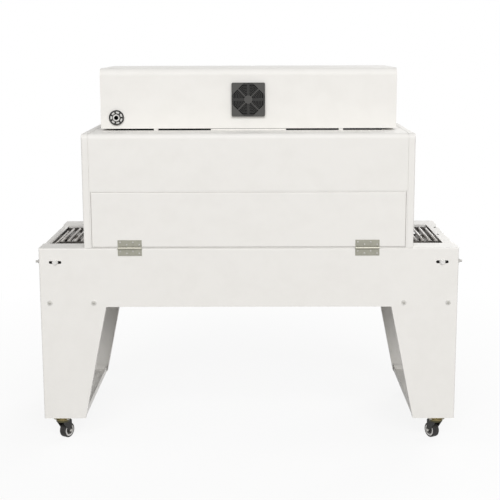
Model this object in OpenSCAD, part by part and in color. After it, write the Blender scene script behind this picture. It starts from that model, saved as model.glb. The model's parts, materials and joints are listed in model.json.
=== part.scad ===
// Heat shrink tunnel: a wheeled sheet-metal base with a rod conveyor, a hood with a
// hinged rear flap over the conveyor, and a control box on top of the hood.
// +X runs along the conveyor, -Y is the rear side with the hinges, +Z is up.
// The origin lies on the floor under the middle of the machine.

/* [Base] */
// Length of the base along the conveyor
base_l = 1540; // [1440:10:1700]
// Depth of the base from its rear face to its front face
base_d = 650; // [600:10:720]
// Height of the base's top flange above the floor
base_z = 740; // [680:10:840]
// Height of the side panel between the legs
side_h = 220; // [190:2:260]
// Width of a leg where it meets the side panel
leg_top_w = 243; // [200:1:290]
// Width of a leg at its foot
leg_foot_w = 155; // [140:1:190]
// Width of the side panel's top flange
flange_w = 110; // [90:2:130]
// Depth of the lip turned down along the flange's inner edge
lip_h = 12; // [9:1:14]
// Width of the edges folded inward along the legs
return_w = 30; // [20:1:40]
// Width of the left end plate's top flange
left_flange_w = 13; // [10:1:42]
// Width of the right end plate's top flange
right_flange_w = 41; // [10:1:42]
// Height of the edges turned up round the bottom pan
pan_edge_h = 25; // [15:1:40]
// Height of the edges turned up round a foot plate
foot_edge_h = 20; // [12:1:30]
// Length of the slot near each end of a foot plate
foot_slot_l = 23; // [16:1:40]
// Width of the slot near each end of a foot plate
foot_slot_w = 7; // [5:1:10]
// Distance of that slot from the foot plate's inner edge
foot_slot_inset = 32; // [24:1:44]

/* [Sheet metal] */
// Thickness of the painted sheet
sheet = 2; // [1.5:0.5:3]
// Outside radius of an ordinary fold
fold_r = 5; // [4:0.5:7]
// Gap left between fixed pieces that slide together
fit_gap = 0.2; // [0.1:0.1:0.5]

/* [Conveyor] */
// Distance of a shaft from the end of the base
shaft_inset = 60; // [58:1:80]
// Distance of the shafts below the base's top flange
shaft_drop = 52; // [52:1:64]
// Diameter of a shaft
shaft_d = 20; // [16:1:25]
// Pitch of the roller chain
chain_pitch = 12.7; // [12:0.1:13]
// Teeth on a chain wheel
wheel_teeth = 22; // [19:1:22]
// Width of a chain strand
chain_w = 12; // [8:1:14]
// Height of a chain strand
chain_h = 14; // [13:0.5:16]
// Gap between the flange's lip and the chain
chain_gap = 47; // [30:1:60]
// Chain pitches from one rod to the next
rod_step = 2; // [2:1:4]
// Distance along the chain from the left shaft to the first rod
rod_start = 20; // [0:1:25]
// Diameter of a carrying rod
rod_d = 10; // [8:0.5:12]
// Depth to which a rod enters the chain strand
rod_seat = 3; // [2:0.5:5]
// Thickness of the rail under the chain
rail_t = 3; // [2:0.5:5]
// Height of the rail's edge against the side panel
rail_edge_h = 25; // [15:1:40]
// Distance of the rail's ends from the shafts
rail_setback = 50; // [44:1:80]
// Length of a tension slot
slot_l = 46; // [36:1:56]
// Width of a tension slot
slot_w = 11; // [10.5:0.5:14]
// Diameter of the stud on a shaft's end
stud_d = 10; // [8:0.5:10]
// Diameter of the washer on a shaft's stud
washer_d = 21; // [18:0.5:24]
// Thickness of that washer
washer_t = 2; // [1:0.5:3]
// Width across the corners of the nut on a shaft's stud
stud_nut_d = 15; // [13:0.5:17]
// Thickness of the nut on a shaft's stud
stud_nut_t = 6; // [4:0.5:7]
// Diameter of a tension screw
screw_d = 8; // [6:0.5:10]
// Distance of a tension screw from the side panel's outer face
screw_inset = 22; // [18:1:30]
// Length of a tension screw that stands out of the end plate
screw_out = 15; // [9:1:20]
// Width across the corners of a tension screw's nut
screw_nut_d = 15; // [12:0.5:18]
// Thickness of a tension screw's nut
screw_nut_t = 6; // [4:0.5:8]

/* [Hood] */
// Length of the hood
hood_l = 1205; // [1000:5:1300]
// Height of the hood above the base
hood_h = 418; // [380:2:480]
// Outside radius of the hood's upper edges
hood_r = 18; // [8:1:20]
// Width of the rim that each end wall folds round the hood
rim_w = 24; // [16:1:36]
// Width of the stepped lip that carries the top cover
rim_lip_w = 14; // [8:1:24]
// Width of the groove between a rim and the top cover
groove_w = 2; // [1:0.5:3]
// Height of the seam between flap and top cover above the base
seam_h = 209; // [190:1:240]
// Gap round the flap and under the top cover
seam_gap = 5; // [4:0.5:6]
// Gap between the flap and the base
flap_foot_gap = 3; // [2:0.5:4]
// Depth of the flap's folded edges
flap_t = 14; // [10:1:20]
// Width of the tunnel mouth
mouth_w = 430; // [380:2:430]
// Height of the tunnel mouth above the base
mouth_h = 200; // [160:2:240]
// Thickness of the tunnel's lining sheet
lining_t = 1.5; // [1:0.5:2]
// Distance of the lining outside the mouth on every side
lining_set = 4; // [2:1:8]
// Width of the lining's foot flanges
lining_foot_w = 20; // [12:1:40]

/* [Hinges] */
// Length of a hinge
hinge_l = 88; // [60:1:110]
// Height of one hinge leaf from the pin's axis
leaf_h = 29; // [22:1:36]
// Thickness of a hinge leaf
leaf_t = 2; // [1.5:0.5:3]
// Diameter of a hinge knuckle
knuckle_d = 9; // [8:0.5:11]
// Diameter of a hinge pin
pin_d = 5; // [4:0.5:6]
// Distance of a hinge's middle from the hood's end
hinge_inset = 168; // [120:1:260]
// Gap between moving hinge pieces
hinge_gap = 0.5; // [0.4:0.1:0.8]
// Radial clearance of pins and axles that turn
running_gap = 0.05; // [0.02:0.01:0.1]

/* [Control box] */
// Width of the control box along the conveyor
box_w = 1100; // [900:10:1190]
// Depth of the control box
box_d = 480; // [400:5:520]
// Height of the control box
box_h = 222; // [190:2:260]
// Distance of the box behind the hood's rear face
box_recess = 160; // [120:5:190]
// Air gap between the hood and the control box
box_gap = 7; // [5:0.5:14]
// Outside radius of the box's upper edges
box_r = 26; // [6:0.5:30]
// Width of the raised plate under the box
plate_w = 280; // [200:5:400]
// Air left above the raised plate
plate_air = 1.5; // [1:0.5:3]
// Distance of a spacer rail from the middle
spacer_x = 345; // [250:5:480]
// Width of a spacer rail
spacer_w = 16; // [10:1:30]
// Distance of rails and plate from the box's front and rear faces
spacer_inset = 3; // [2:1:20]

/* [Fan guard] */
// Height of the fan's middle above the underside of the control box
fan_rise = 107; // [100:1:115]
// Width of the square fan guard
guard_w = 124; // [110:1:140]
// Depth of the fan guard
guard_t = 12; // [9:1:18]
// Thickness of the guard's face
guard_face_t = 3; // [2:0.5:4]
// Thickness of the guard's side walls
guard_wall_t = 2.5; // [2:0.5:4]
// Corner radius of the guard
guard_r = 5; // [3:0.5:8]
// Radius of the guard's grille across its corners
grille_r = 59; // [52:0.5:60]
// Radius of the guard's centre plate across its corners
grille_boss_r = 16; // [12:0.5:20]
// Number of eight-sided grille bars
grille_bars = 6; // [4:1:8]
// Width of a grille bar
grille_bar_w = 3; // [2:0.25:4]
// Width of the upright and level grille spokes
grille_spoke_w = 9; // [6:0.5:20]
// Width of the diagonal grille spokes
grille_cross_w = 4; // [3:0.5:9]
// Diameter of the air hole behind the guard
air_hole_d = 108; // [90:1:112]

/* [Cable gland] */
// Distance of the cable gland from the middle
gland_x = 491; // [420:1:510]
// Height of the cable gland above the box's lower edge
gland_z = 41; // [34:1:80]
// Diameter of the gland's flange
gland_d = 56; // [44:1:60]
// Thickness of the gland's flange
gland_t = 6; // [4:0.5:8]
// Diameter of the gland's collar
gland_collar_d = 28; // [24:0.5:32]
// Length of the gland's collar outside the box
gland_collar_l = 12; // [8:0.5:14]
// Diameter of the cable hole
gland_bore_d = 15; // [10:0.5:18]
// Depth of the ring-shaped hollow in the gland's face
gland_hollow_t = 3; // [2:0.5:3.5]
// Number of ribs across that hollow
gland_ribs = 7; // [4:1:10]
// Width of such a rib
gland_rib_w = 3; // [2:0.5:5]
// Width of the rim round that hollow
gland_rim_w = 4; // [3:0.5:6]
// Thickness of the gland's nut inside the box
gland_nut_t = 8; // [5:0.5:12]
// Width of that nut across its corners
gland_nut_d = 44; // [38:1:52]

/* [Controls] */
// Height of the controls above the box's lower edge
control_z = 118; // [90:1:140]
// Distance from one control to the next
control_pitch = 92; // [84:1:110]
// Width of the temperature controller
meter_w = 72; // [60:1:80]
// Depth to which the temperature controller stands out
meter_t = 9; // [6:0.5:14]
// Width of the temperature controller's frame
meter_frame_w = 7; // [5:0.5:10]
// Depth of the recess in the controller's face
meter_recess = 2; // [1:0.5:4]
// Diameter of the speed knob
knob_d = 38; // [28:1:46]
// Length of the speed knob
knob_l = 16; // [12:0.5:17]
// Thickness of the speed knob's skirt
knob_skirt_t = 5; // [3:0.5:7]
// Diameter of a push button's bezel
button_bezel_d = 29; // [24:1:34]
// Thickness of that bezel
button_bezel_t = 4; // [3:0.5:6]
// Diameter of a push button's cap
button_cap_d = 21; // [16:1:23]
// Length of a push button from the box
button_l = 11; // [8:0.5:14]
// Number of push buttons
button_count = 3; // [1:1:4]

/* [Casters] */
// Height of a caster from the floor to the foot plate
caster_h = 90; // [84:1:110]
// Distance of a caster from the base's end
caster_inset_x = 63; // [56:1:76]
// Distance of a caster from the side panel's face
caster_inset_y = 33; // [33:1:70]
// Width of the square caster plate
caster_plate_w = 60; // [52:1:66]
// Thickness of the caster plate
caster_plate_t = 3; // [2:0.5:5]
// Corner radius of the caster plate
caster_plate_r = 8; // [4:1:14]
// Diameter of the caster's ball race
race_d = 50; // [42:1:54]
// Height of the caster's ball race
race_h = 11; // [7:0.5:13]
// Diameter of the swivel pin
swivel_d = 10; // [8:0.5:12]
// Distance of the wheel's axle from the swivel axis
trail = 22; // [16:1:28]
// Diameter of the wheel
wheel_d = 57; // [50:1:62]
// Width of the wheel's tread
tread_w = 26; // [20:1:30]
// Radial thickness of the tread
tread_t = 6; // [4:0.5:9]
// Width of the hub
hub_w = 28; // [24:1:32]
// Diameter of the axle
axle_d = 8; // [6:0.5:10]
// Thickness of a fork cheek
fork_t = 3; // [2:0.5:4]
// Gap between the hub and a fork cheek
fork_gap = 0.5; // [0.4:0.1:1]
// Thickness of the fork's crown
crown_t = 6; // [4:0.5:8]
// Radius of the fork's lower ends
fork_end_r = 9; // [7:0.5:12]

/* [Hidden] */
$fn = 64;

// Base and conveyor levels
half_l = base_l / 2;
half_d = base_d / 2;
leg_z = caster_h;
side_z = base_z - side_h;
pan_z = side_z + sheet;
leg_slant = (leg_top_w - leg_foot_w) / (side_z - leg_z);
slant_sheet = sheet * sqrt(1 + leg_slant * leg_slant);
leg_gap = base_l - 2 * (leg_top_w - slant_sheet);
inner_d = half_d - sheet;
tray_y = half_d - fold_r;
end_x = half_l - sheet;
pan_x = end_x - sheet;
lip_y = half_d - flange_w;
shaft_x = half_l - shaft_inset;
shaft_z = base_z - shaft_drop;
pitch_r = chain_pitch / (2 * sin(180 / wheel_teeth));
run_z = shaft_z + pitch_r;
chain_y = lip_y - chain_gap - chain_w;
run_l = 2 * shaft_x;
turn_l = PI * pitch_r;
loop_l = 2 * run_l + 2 * turn_l;
rod_count = floor(loop_l / (chain_pitch * rod_step));
screw_y = half_d - screw_inset;
screw_hole_d = screw_d + 2 * fit_gap;

// Hood levels
hood_z = base_z + hood_h;
flap_l = hood_l - 2 * (rim_w + seam_gap);
flap_z = base_z + flap_foot_gap;
flap_top = base_z + seam_h - seam_gap / 2;
cover_z = base_z + seam_h + seam_gap / 2;
cover_l = hood_l - 2 * (rim_w + groove_w);
lining_y = mouth_w / 2 + lining_set;
lining_z = base_z + mouth_h + lining_set;
hinge_x = hood_l / 2 - hinge_inset;
hinge_y = -half_d - knuckle_d / 2 - hinge_gap;
hinge_z = base_z + flap_foot_gap / 2;

// Control box levels
box_z = hood_z + box_gap;
box_top = box_z + box_h;
box_rear = -half_d + box_recess;
box_front = box_rear + box_d;
fan_z = box_z + fan_rise;
gland_neck_d = gland_collar_d - 2;

// Caster levels
caster_x = half_l - caster_inset_x;
caster_y = half_d - caster_inset_y;
wheel_r = wheel_d / 2;
race_z = leg_z - caster_plate_t - race_h;
crown_top = race_z - hinge_gap;
crown_z = crown_top - crown_t;
cheek_y = hub_w / 2 + fork_gap;
rim_r = wheel_r - tread_t;
// Way in which each caster trails at rest, in degrees from +X
rear_left_turn = 59;
rear_right_turn = 121;
front_left_turn = 80;
front_right_turn = 160;

// Colours
PAINT = "#e8e6e2";
STEEL = "#a9a69c";
BRIGHT = "#c9c8c4";
DARK = "#2b2a29";
ZINC = "#8f8758";
GREY = "#b9b8b4";

// Extrudes a Y-Z outline along X, centred on the middle
module along_x(l) {
    translate([-l / 2, 0, 0])
        rotate([90, 0, 90])
            linear_extrude(l) children();
}

// Extrudes an X-Z outline along Y, from y0 towards +Y
module along_y(y0, l) {
    translate([0, y0 + l, 0])
        rotate([90, 0, 0])
            linear_extrude(l) children();
}

// Quarter ring of a folded sheet, in the first quadrant
module fold(r) {
    intersection() {
        difference() {
            circle(r);
            circle(r - sheet);
        }
        square(r);
    }
}

// Sheet folded once: a level part to the right and an upright part downwards from the corner
module folded_corner(level, upright) {
    translate([fold_r, -sheet])
        square([level - fold_r, sheet]);
    translate([0, -upright])
        square([sheet, upright - fold_r]);
    translate([fold_r, -fold_r])
        rotate(90) fold(fold_r);
}

// Slot with round ends, centred
module slot(l, w) {
    square([l - w, w], center = true);
    for (s = [-1, 1])
        translate([s * (l - w) / 2, 0]) circle(d = w);
}

// Square with round corners, centred
module round_square(w, r) {
    square([w, w - 2 * r], center = true);
    square([w - 2 * r, w], center = true);
    for (sx = [-1, 1], sy = [-1, 1])
        translate([sx * (w / 2 - r), sy * (w / 2 - r)]) circle(r);
}

// Outline from 0 upwards, centred, with two round lower corners
module round_front(w, t, r) {
    translate([-w / 2, r])
        square([w, t - r]);
    translate([-w / 2 + r, 0])
        square([w - 2 * r, t]);
    for (s = [-1, 1])
        translate([s * (w / 2 - r), r]) circle(r);
}

// Upright slab behind the rear face, drawn in by a distance, with all its rear edges round
module round_slab(l, z0, z1, t, inset) {
    w = l - 2 * inset;
    h = z1 - z0 - 2 * inset;
    r = fold_r - inset;
    intersection() {
        translate([0, inset - half_d, z0 + inset])
            linear_extrude(h) round_front(w, t, r);
        translate([w / 2, inset - half_d, (z0 + z1) / 2])
            rotate([0, -90, 0])
                linear_extrude(w) round_front(h, t, r);
    }
}

// Outline with two round upper corners
module arch(y0, y1, z0, z1, r) {
    translate([y0, z0])
        square([y1 - y0, z1 - r - z0]);
    translate([y0 + r, z0])
        square([y1 - y0 - 2 * r, z1 - z0]);
    for (y = [y0 + r, y1 - r])
        translate([y, z1 - r]) circle(r);
}

// Opening between the legs, as an X-Z outline
module leg_opening() {
    x_foot = half_l - leg_foot_w;
    x_top = half_l - leg_top_w;
    drop = 2 * fold_r;
    low = x_foot + drop * leg_slant;
    polygon([
        [-low, leg_z - drop],
        [-x_top, side_z],
        [x_top, side_z],
        [low, leg_z - drop]
    ]);
}

// Edge folded inward along the slanted side of the leg at +X
module slant_return() {
    along_y(-half_d, return_w)
        polygon([
            [half_l - leg_foot_w, leg_z],
            [half_l - leg_foot_w + slant_sheet, leg_z],
            [half_l - leg_top_w + slant_sheet, side_z],
            [half_l - leg_top_w, side_z]
        ]);
}

// Side panel, both its legs, the top flange and its lip, for the rear side
module side_panel() {
    low = leg_z - 2 * fold_r;
    difference() {
        round_slab(base_l, low, base_z, flange_w - fold_r, 0);
        round_slab(base_l, low, base_z, flange_w, sheet);
        along_y(-base_d, base_d) leg_opening();
        along_y(-base_d, base_d)
            for (s = [-1, 1])
                translate([s * shaft_x, shaft_z]) slot(slot_l, slot_w);
        translate([-base_l, -base_d, low - sheet])
            cube([2 * base_l, base_d, leg_z - low + sheet]);
        translate([-base_l, -half_d + return_w, leg_z - fold_r])
            cube([2 * base_l, flange_w, base_z - leg_z]);
        translate([-base_l, -screw_y, shaft_z])
            rotate([0, 90, 0]) cylinder(d = screw_hole_d, h = 2 * base_l);
    }
    along_x(2 * (end_x - sheet - fit_gap))
        translate([-lip_y, base_z])
            mirror([1, 0]) folded_corner(2 * fold_r, lip_h);
    translate([-leg_gap / 2, -half_d, side_z])
        cube([leg_gap, return_w, sheet]);
    slant_return();
    mirror([1, 0, 0]) slant_return();
}

module rear_side_panel() {
    color(PAINT) side_panel();
}

module front_side_panel() {
    color(PAINT) mirror([0, 1, 0]) side_panel();
}

// End plate of the base at +X, with a top flange between the side panels' lips
module end_plate(flange) {
    flange_d = 2 * (lip_y - fit_gap);
    corner_y = lip_y + fold_r;
    difference() {
        union() {
            translate([end_x - sheet, -tray_y, side_z])
                cube([sheet, 2 * tray_y, side_h - fold_r]);
            for (s = [-1, 1])
                translate([end_x - sheet, s * (tray_y + corner_y) / 2 - (tray_y - corner_y) / 2, side_z])
                    cube([sheet, tray_y - corner_y, side_h - sheet]);
            along_y(-flange_d / 2, flange_d)
                translate([end_x, base_z])
                    mirror([1, 0]) folded_corner(flange, fold_r + sheet);
        }
        for (s = [-1, 1])
            translate([end_x - 2 * sheet, s * screw_y, shaft_z])
                rotate([0, 90, 0]) cylinder(d = screw_hole_d, h = 3 * sheet);
    }
}

module left_end_plate() {
    color(PAINT) mirror([1, 0, 0]) end_plate(left_flange_w);
}

module right_end_plate() {
    color(PAINT) end_plate(right_flange_w);
}

// Tray that closes the base below the conveyor
module bottom_pan() {
    color(PAINT)
        difference() {
            translate([-pan_x, -tray_y, pan_z])
                cube([2 * pan_x, 2 * tray_y, pan_edge_h]);
            translate([-pan_x + sheet, -tray_y + sheet, pan_z + sheet])
                cube([2 * (pan_x - sheet), 2 * (tray_y - sheet), pan_edge_h]);
        }
}

// Tray between the feet of the legs at +X, which carries two casters
module foot_plate() {
    x0 = half_l - leg_foot_w + slant_sheet;
    w = leg_foot_w - slant_sheet - sheet;
    difference() {
        translate([x0, -tray_y, leg_z])
            cube([w, 2 * tray_y, foot_edge_h]);
        translate([x0 + sheet, -tray_y + sheet, leg_z + sheet])
            cube([w - 2 * sheet, 2 * (tray_y - sheet), foot_edge_h]);
        for (s = [-1, 1])
            translate([x0 + foot_slot_inset, s * (tray_y - foot_edge_h), leg_z - sheet])
                linear_extrude(3 * sheet) slot(foot_slot_l, foot_slot_w);
    }
}

module left_foot_plate() {
    color(PAINT) mirror([1, 0, 0]) foot_plate();
}

module right_foot_plate() {
    color(PAINT) foot_plate();
}

// Loop outline round both shafts
module loop(r) {
    for (s = [-1, 1])
        translate([s * shaft_x, shaft_z]) circle(r);
    translate([-shaft_x, shaft_z - r])
        square([run_l, 2 * r]);
}

// Point on the chain's pitch line at a given distance along it
function loop_point(s) =
    s < run_l ? [-shaft_x + s, run_z] :
    s < run_l + turn_l ? turn_point(shaft_x, 90 - (s - run_l) / pitch_r * 180 / PI) :
    s < 2 * run_l + turn_l ? [shaft_x - (s - run_l - turn_l), shaft_z - pitch_r] :
    turn_point(-shaft_x, -90 - (s - 2 * run_l - turn_l) / pitch_r * 180 / PI);

function turn_point(x, a) = [x + pitch_r * cos(a), shaft_z + pitch_r * sin(a)];

// Two chain strands in one fixed loop, with the rods that they carry
module conveyor_chain() {
    rod_half = chain_y + rod_seat;
    color(BRIGHT) {
        for (s = [-1, 1])
            along_y(s < 0 ? -chain_y - chain_w : chain_y, chain_w)
                difference() {
                    loop(pitch_r + chain_h / 2);
                    loop(pitch_r - chain_h / 2);
                }
        for (i = [0 : rod_count - 1])
            along_y(-rod_half, 2 * rod_half)
                translate(loop_point(rod_start + i * loop_l / rod_count)) circle(d = rod_d);
    }
}

// Shaft at +X with two chain wheels and the studs that clamp it in the tension slots
module shaft() {
    wheel_outer_r = pitch_r - chain_h / 2 - fit_gap;
    translate([shaft_x, 0, shaft_z])
        rotate([90, 0, 0]) {
            cylinder(d = shaft_d, h = 2 * inner_d, center = true);
            for (s = [-1, 1])
                translate([0, 0, s * (chain_y + chain_w / 2)])
                    cylinder(r = wheel_outer_r, h = chain_w - 2 * fit_gap, center = true);
            cylinder(d = stud_d, h = 2 * (half_d + washer_t + stud_nut_t), center = true);
            for (s = [0, 1])
                mirror([0, 0, s])
                    translate([0, 0, half_d]) {
                        cylinder(d = washer_d, h = washer_t);
                        translate([0, 0, washer_t]) cylinder(d = stud_nut_d, h = stud_nut_t, $fn = 6);
                    }
        }
}

module left_shaft() {
    color(STEEL) mirror([1, 0, 0]) shaft();
}

module right_shaft() {
    color(STEEL) shaft();
}

// Screws through the end plates that draw the shafts outwards
module tension_screws() {
    start = shaft_x + shaft_d / 2 + fit_gap;
    color(STEEL)
        for (sx = [0, 1], sy = [-1, 1])
            mirror([sx, 0, 0])
                translate([0, sy * screw_y, shaft_z])
                    rotate([0, 90, 0]) {
                        translate([0, 0, start]) cylinder(d = screw_d, h = half_l + screw_out - start);
                        translate([0, 0, half_l]) cylinder(d = screw_nut_d, h = screw_nut_t, $fn = 6);
                    }
}

// Angle rail that carries the chain's upper run, for the rear side
module chain_rail() {
    rail_z = run_z - chain_h / 2 - rail_t;
    l = run_l - 2 * rail_setback;
    translate([-l / 2, -inner_d, rail_z])
        cube([l, inner_d - chain_y, rail_t]);
    translate([-l / 2, -inner_d, rail_z - rail_edge_h + rail_t])
        cube([l, rail_t, rail_edge_h]);
}

module rear_chain_rail() {
    color(STEEL) chain_rail();
}

module front_chain_rail() {
    color(STEEL) mirror([0, 1, 0]) chain_rail();
}

// Y-Z outline of the hood, drawn in by a distance and lengthened downwards
module hood_outline(inset, drop = 0) {
    arch(-half_d + inset, half_d - inset, base_z - drop, hood_z - inset, hood_r - inset);
}

// Ring of the hood's outline between two insets
module hood_ring(outer, inner) {
    difference() {
        hood_outline(outer);
        hood_outline(inner, sheet);
    }
}

// The whole hood as one block with round edges, drawn in by a distance
module hood_block(inset, drop = 0) {
    l = hood_l - 2 * inset;
    d = base_d - 2 * inset;
    r = fold_r - inset;
    intersection() {
        along_x(l) hood_outline(inset, drop);
        translate([0, 0, base_z - 2 * drop])
            linear_extrude(hood_h + 2 * drop)
                for (s = [0, 1])
                    rotate(180 * s)
                        translate([0, -d / 2]) round_front(l, d / 2, r);
        along_y(-half_d, base_d)
            arch(-l / 2, l / 2, base_z - drop, hood_z - inset, r);
    }
}

// End wall of the hood at +X, with its mouth, its rim and the lip under the top cover
module end_wall() {
    lip_in = sheet + fit_gap;
    x_rim = hood_l / 2 - rim_w;
    difference() {
        hood_block(0);
        hood_block(sheet, sheet);
        translate([x_rim - hood_l, -base_d, base_z - sheet])
            cube([hood_l, 2 * base_d, 2 * hood_h]);
        translate([0, -mouth_w / 2, base_z - sheet])
            cube([hood_l, mouth_w, mouth_h + sheet]);
    }
    intersection() {
        union() {
            translate([x_rim + sheet / 2, 0, 0])
                along_x(sheet) hood_ring(sheet / 2, lip_in + sheet);
            translate([x_rim + sheet - (rim_lip_w + sheet) / 2, 0, 0])
                along_x(rim_lip_w + sheet) hood_ring(lip_in, lip_in + sheet);
        }
        translate([0, -half_d, cover_z])
            cube([hood_l, base_d, hood_h]);
    }
}

module left_end_wall() {
    color(PAINT) mirror([1, 0, 0]) end_wall();
}

module right_end_wall() {
    color(PAINT) end_wall();
}

// Cover over the hood: rear upper face, top and front upper face in one folded sheet
module top_cover() {
    edge = sheet + fit_gap + sheet;
    color(PAINT) {
        intersection() {
            along_x(cover_l) hood_ring(0, sheet);
            translate([-cover_l / 2, -half_d, cover_z])
                cube([cover_l, base_d, hood_h]);
        }
        for (s = [0, 1])
            mirror([0, s, 0])
                translate([-cover_l / 2 + rim_lip_w + edge, -half_d + sheet / 2, cover_z])
                    cube([cover_l - 2 * (rim_lip_w + edge), flap_t - sheet / 2, sheet]);
    }
}

// Sheet tray that stands upright, with its edges folded inward
module upright_tray(l, z0, z1) {
    difference() {
        round_slab(l, z0, z1, flap_t, 0);
        round_slab(l, z0, z1, flap_t, sheet);
    }
}

module rear_flap() {
    color(PAINT) upright_tray(flap_l, flap_z, flap_top);
}

module front_panel() {
    color(PAINT) mirror([0, 1, 0]) upright_tray(flap_l, base_z, flap_top);
}

// Lining of the tunnel: two walls and a roof over the conveyor, on foot flanges
module tunnel_lining() {
    l = hood_l - 2 * sheet;
    color(BRIGHT)
        along_x(l) {
            difference() {
                translate([-lining_y - lining_t, base_z])
                    square([2 * (lining_y + lining_t), lining_z + lining_t - base_z]);
                translate([-lining_y, base_z - 1])
                    square([2 * lining_y, lining_z - base_z + 1]);
            }
            for (y = [-lining_y - lining_foot_w, lining_y])
                translate([y, base_z]) square([lining_foot_w, lining_t]);
        }
}

// Places a hinge piece at both hinges
module at_hinges() {
    for (s = [-1, 1])
        translate([s * hinge_x, hinge_y, hinge_z]) children();
}

// One hinge leaf upwards from the pin, with the knuckles at the given places
module hinge_leaf(places) {
    third = hinge_l / 3;
    clear = knuckle_d / 2 + hinge_gap;
    leaf_y = knuckle_d / 2 + hinge_gap - leaf_t;
    difference() {
        union() {
            translate([-hinge_l / 2, leaf_y, clear])
                cube([hinge_l, leaf_t, leaf_h - clear]);
            for (p = places) {
                translate([p * third, 0, 0])
                    rotate([0, 90, 0])
                        cylinder(d = knuckle_d, h = third - hinge_gap, center = true);
                translate([p * third - (third - hinge_gap) / 2, leaf_y, 0])
                    cube([third - hinge_gap, leaf_t - hinge_gap, clear]);
            }
        }
        rotate([0, 90, 0])
            cylinder(d = pin_d + 2 * running_gap, h = 2 * hinge_l, center = true);
    }
}

module hinge_base_leaves() {
    color(STEEL)
        at_hinges() mirror([0, 0, 1]) hinge_leaf([-1, 1]);
}

module hinge_flap_leaves() {
    color(STEEL)
        at_hinges() hinge_leaf([0]);
}

module hinge_pins() {
    color(BRIGHT)
        at_hinges()
            rotate([0, 90, 0]) cylinder(d = pin_d, h = hinge_l, center = true);
}

// Plate on the hood that fills the middle of the gap under the control box
module raised_plate() {
    color(PAINT)
        translate([-plate_w / 2, box_rear + spacer_inset, hood_z])
            cube([plate_w, box_d - 2 * spacer_inset - hood_r, box_gap - plate_air]);
}

// Rails that carry the control box above the hood
module spacer_rails() {
    color(PAINT)
        for (s = [-1, 1])
            translate([s * spacer_x - spacer_w / 2, box_rear + spacer_inset, hood_z])
                cube([spacer_w, box_d - 2 * spacer_inset - hood_r, box_gap]);
}

// Y-Z outline of the control box, drawn in by a distance and lengthened downwards
module box_outline(inset, drop = 0) {
    arch(box_rear + inset, box_front - inset, box_z - drop, box_top - inset, box_r - inset);
}

// Floor and both ends of the control box
module control_box_base() {
    color(PAINT) {
        translate([-box_w / 2, box_rear + sheet, box_z])
            cube([box_w, box_d - 2 * sheet, sheet]);
        for (s = [-1, 1])
            translate([s * (box_w - sheet) / 2, 0, 0])
                along_x(sheet) box_outline(sheet + fit_gap);
    }
}

// Rear, top and front of the control box in one folded sheet
module control_box_cover() {
    color(PAINT)
        difference() {
            along_x(box_w)
                difference() {
                    box_outline(0);
                    box_outline(sheet, sheet);
                }
            along_y(box_rear - sheet, 3 * sheet)
                translate([0, fan_z]) circle(d = air_hole_d);
            along_y(box_rear - sheet, 3 * sheet)
                translate([-gland_x, box_z + gland_z]) circle(d = gland_neck_d + 2 * fit_gap);
        }
}

// Eight-sided ring of the grille with flat sides at top, bottom and both sides
module grille_ring(r) {
    rotate(22.5)
        difference() {
            circle(r, $fn = 8);
            circle(r - grille_bar_w, $fn = 8);
        }
}

// Bars, spokes and centre plate of the fan guard's grille
module grille() {
    pitch = (grille_r - grille_boss_r) / (grille_bars + 1);
    rotate(22.5) circle(grille_boss_r, $fn = 8);
    for (i = [1 : grille_bars])
        grille_ring(grille_boss_r + i * pitch + grille_bar_w / 2);
    intersection() {
        rotate(22.5) circle(grille_r + 1, $fn = 8);
        union() {
            for (a = [0, 90])
                rotate(a) square([2 * grille_r, grille_spoke_w], center = true);
            for (a = [45, 135])
                rotate(a) square([2 * grille_r, grille_cross_w], center = true);
        }
    }
}

// Square plastic guard with an eight-sided grille, over the fan's air hole
module fan_guard() {
    color(DARK)
        translate([0, 0, fan_z]) {
            along_y(box_rear - guard_t, guard_face_t) {
                difference() {
                    round_square(guard_w, guard_r);
                    rotate(22.5) circle(grille_r, $fn = 8);
                }
                grille();
            }
            along_y(box_rear - guard_t, guard_t)
                difference() {
                    round_square(guard_w, guard_r);
                    square(guard_w - 2 * guard_wall_t, center = true);
                }
        }
}

// Foam filter behind the guard
module fan_filter() {
    w = guard_w - 2 * (guard_wall_t + fit_gap);
    t = guard_t - guard_face_t - fit_gap;
    color(DARK)
        translate([0, 0, fan_z])
            along_y(box_rear - t, t) square(w, center = true);
}

// Round cable inlet with a ribbed flange, a collar and a nut inside the box
module cable_gland() {
    hollow_r = gland_d / 2 - gland_rim_w;
    collar_r = gland_collar_d / 2;
    color(DARK)
        translate([-gland_x, box_rear, box_z + gland_z])
            rotate([90, 0, 0])
                difference() {
                    union() {
                        cylinder(d = gland_d, h = gland_t - gland_hollow_t);
                        difference() {
                            cylinder(d = gland_d, h = gland_t);
                            cylinder(r = hollow_r, h = 2 * gland_t);
                        }
                        for (i = [0 : gland_ribs - 1])
                            rotate(i * 360 / gland_ribs)
                                translate([collar_r - 1, -gland_rib_w / 2, 0])
                                    cube([hollow_r - collar_r + 2, gland_rib_w, gland_t - 1]);
                        cylinder(d = gland_collar_d, h = gland_collar_l);
                        translate([0, 0, -sheet - gland_nut_t])
                            cylinder(d = gland_neck_d, h = sheet + gland_nut_t + 1);
                        translate([0, 0, -sheet - gland_nut_t])
                            cylinder(d = gland_nut_d, h = gland_nut_t, $fn = 6);
                    }
                    cylinder(d = gland_bore_d, h = 4 * (gland_collar_l + gland_nut_t), center = true);
                }
}

// Places a control on the box's front face, counted from the left as seen from the front
module at_control(i) {
    translate([(2 - i) * control_pitch, box_front, box_z + control_z])
        rotate([-90, 0, 0]) children();
}

module temperature_controller() {
    color(DARK)
        at_control(0)
            difference() {
                linear_extrude(meter_t) round_square(meter_w, meter_frame_w / 2);
                translate([0, 0, meter_t - meter_recess])
                    linear_extrude(meter_t) square(meter_w - 2 * meter_frame_w, center = true);
            }
}

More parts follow.
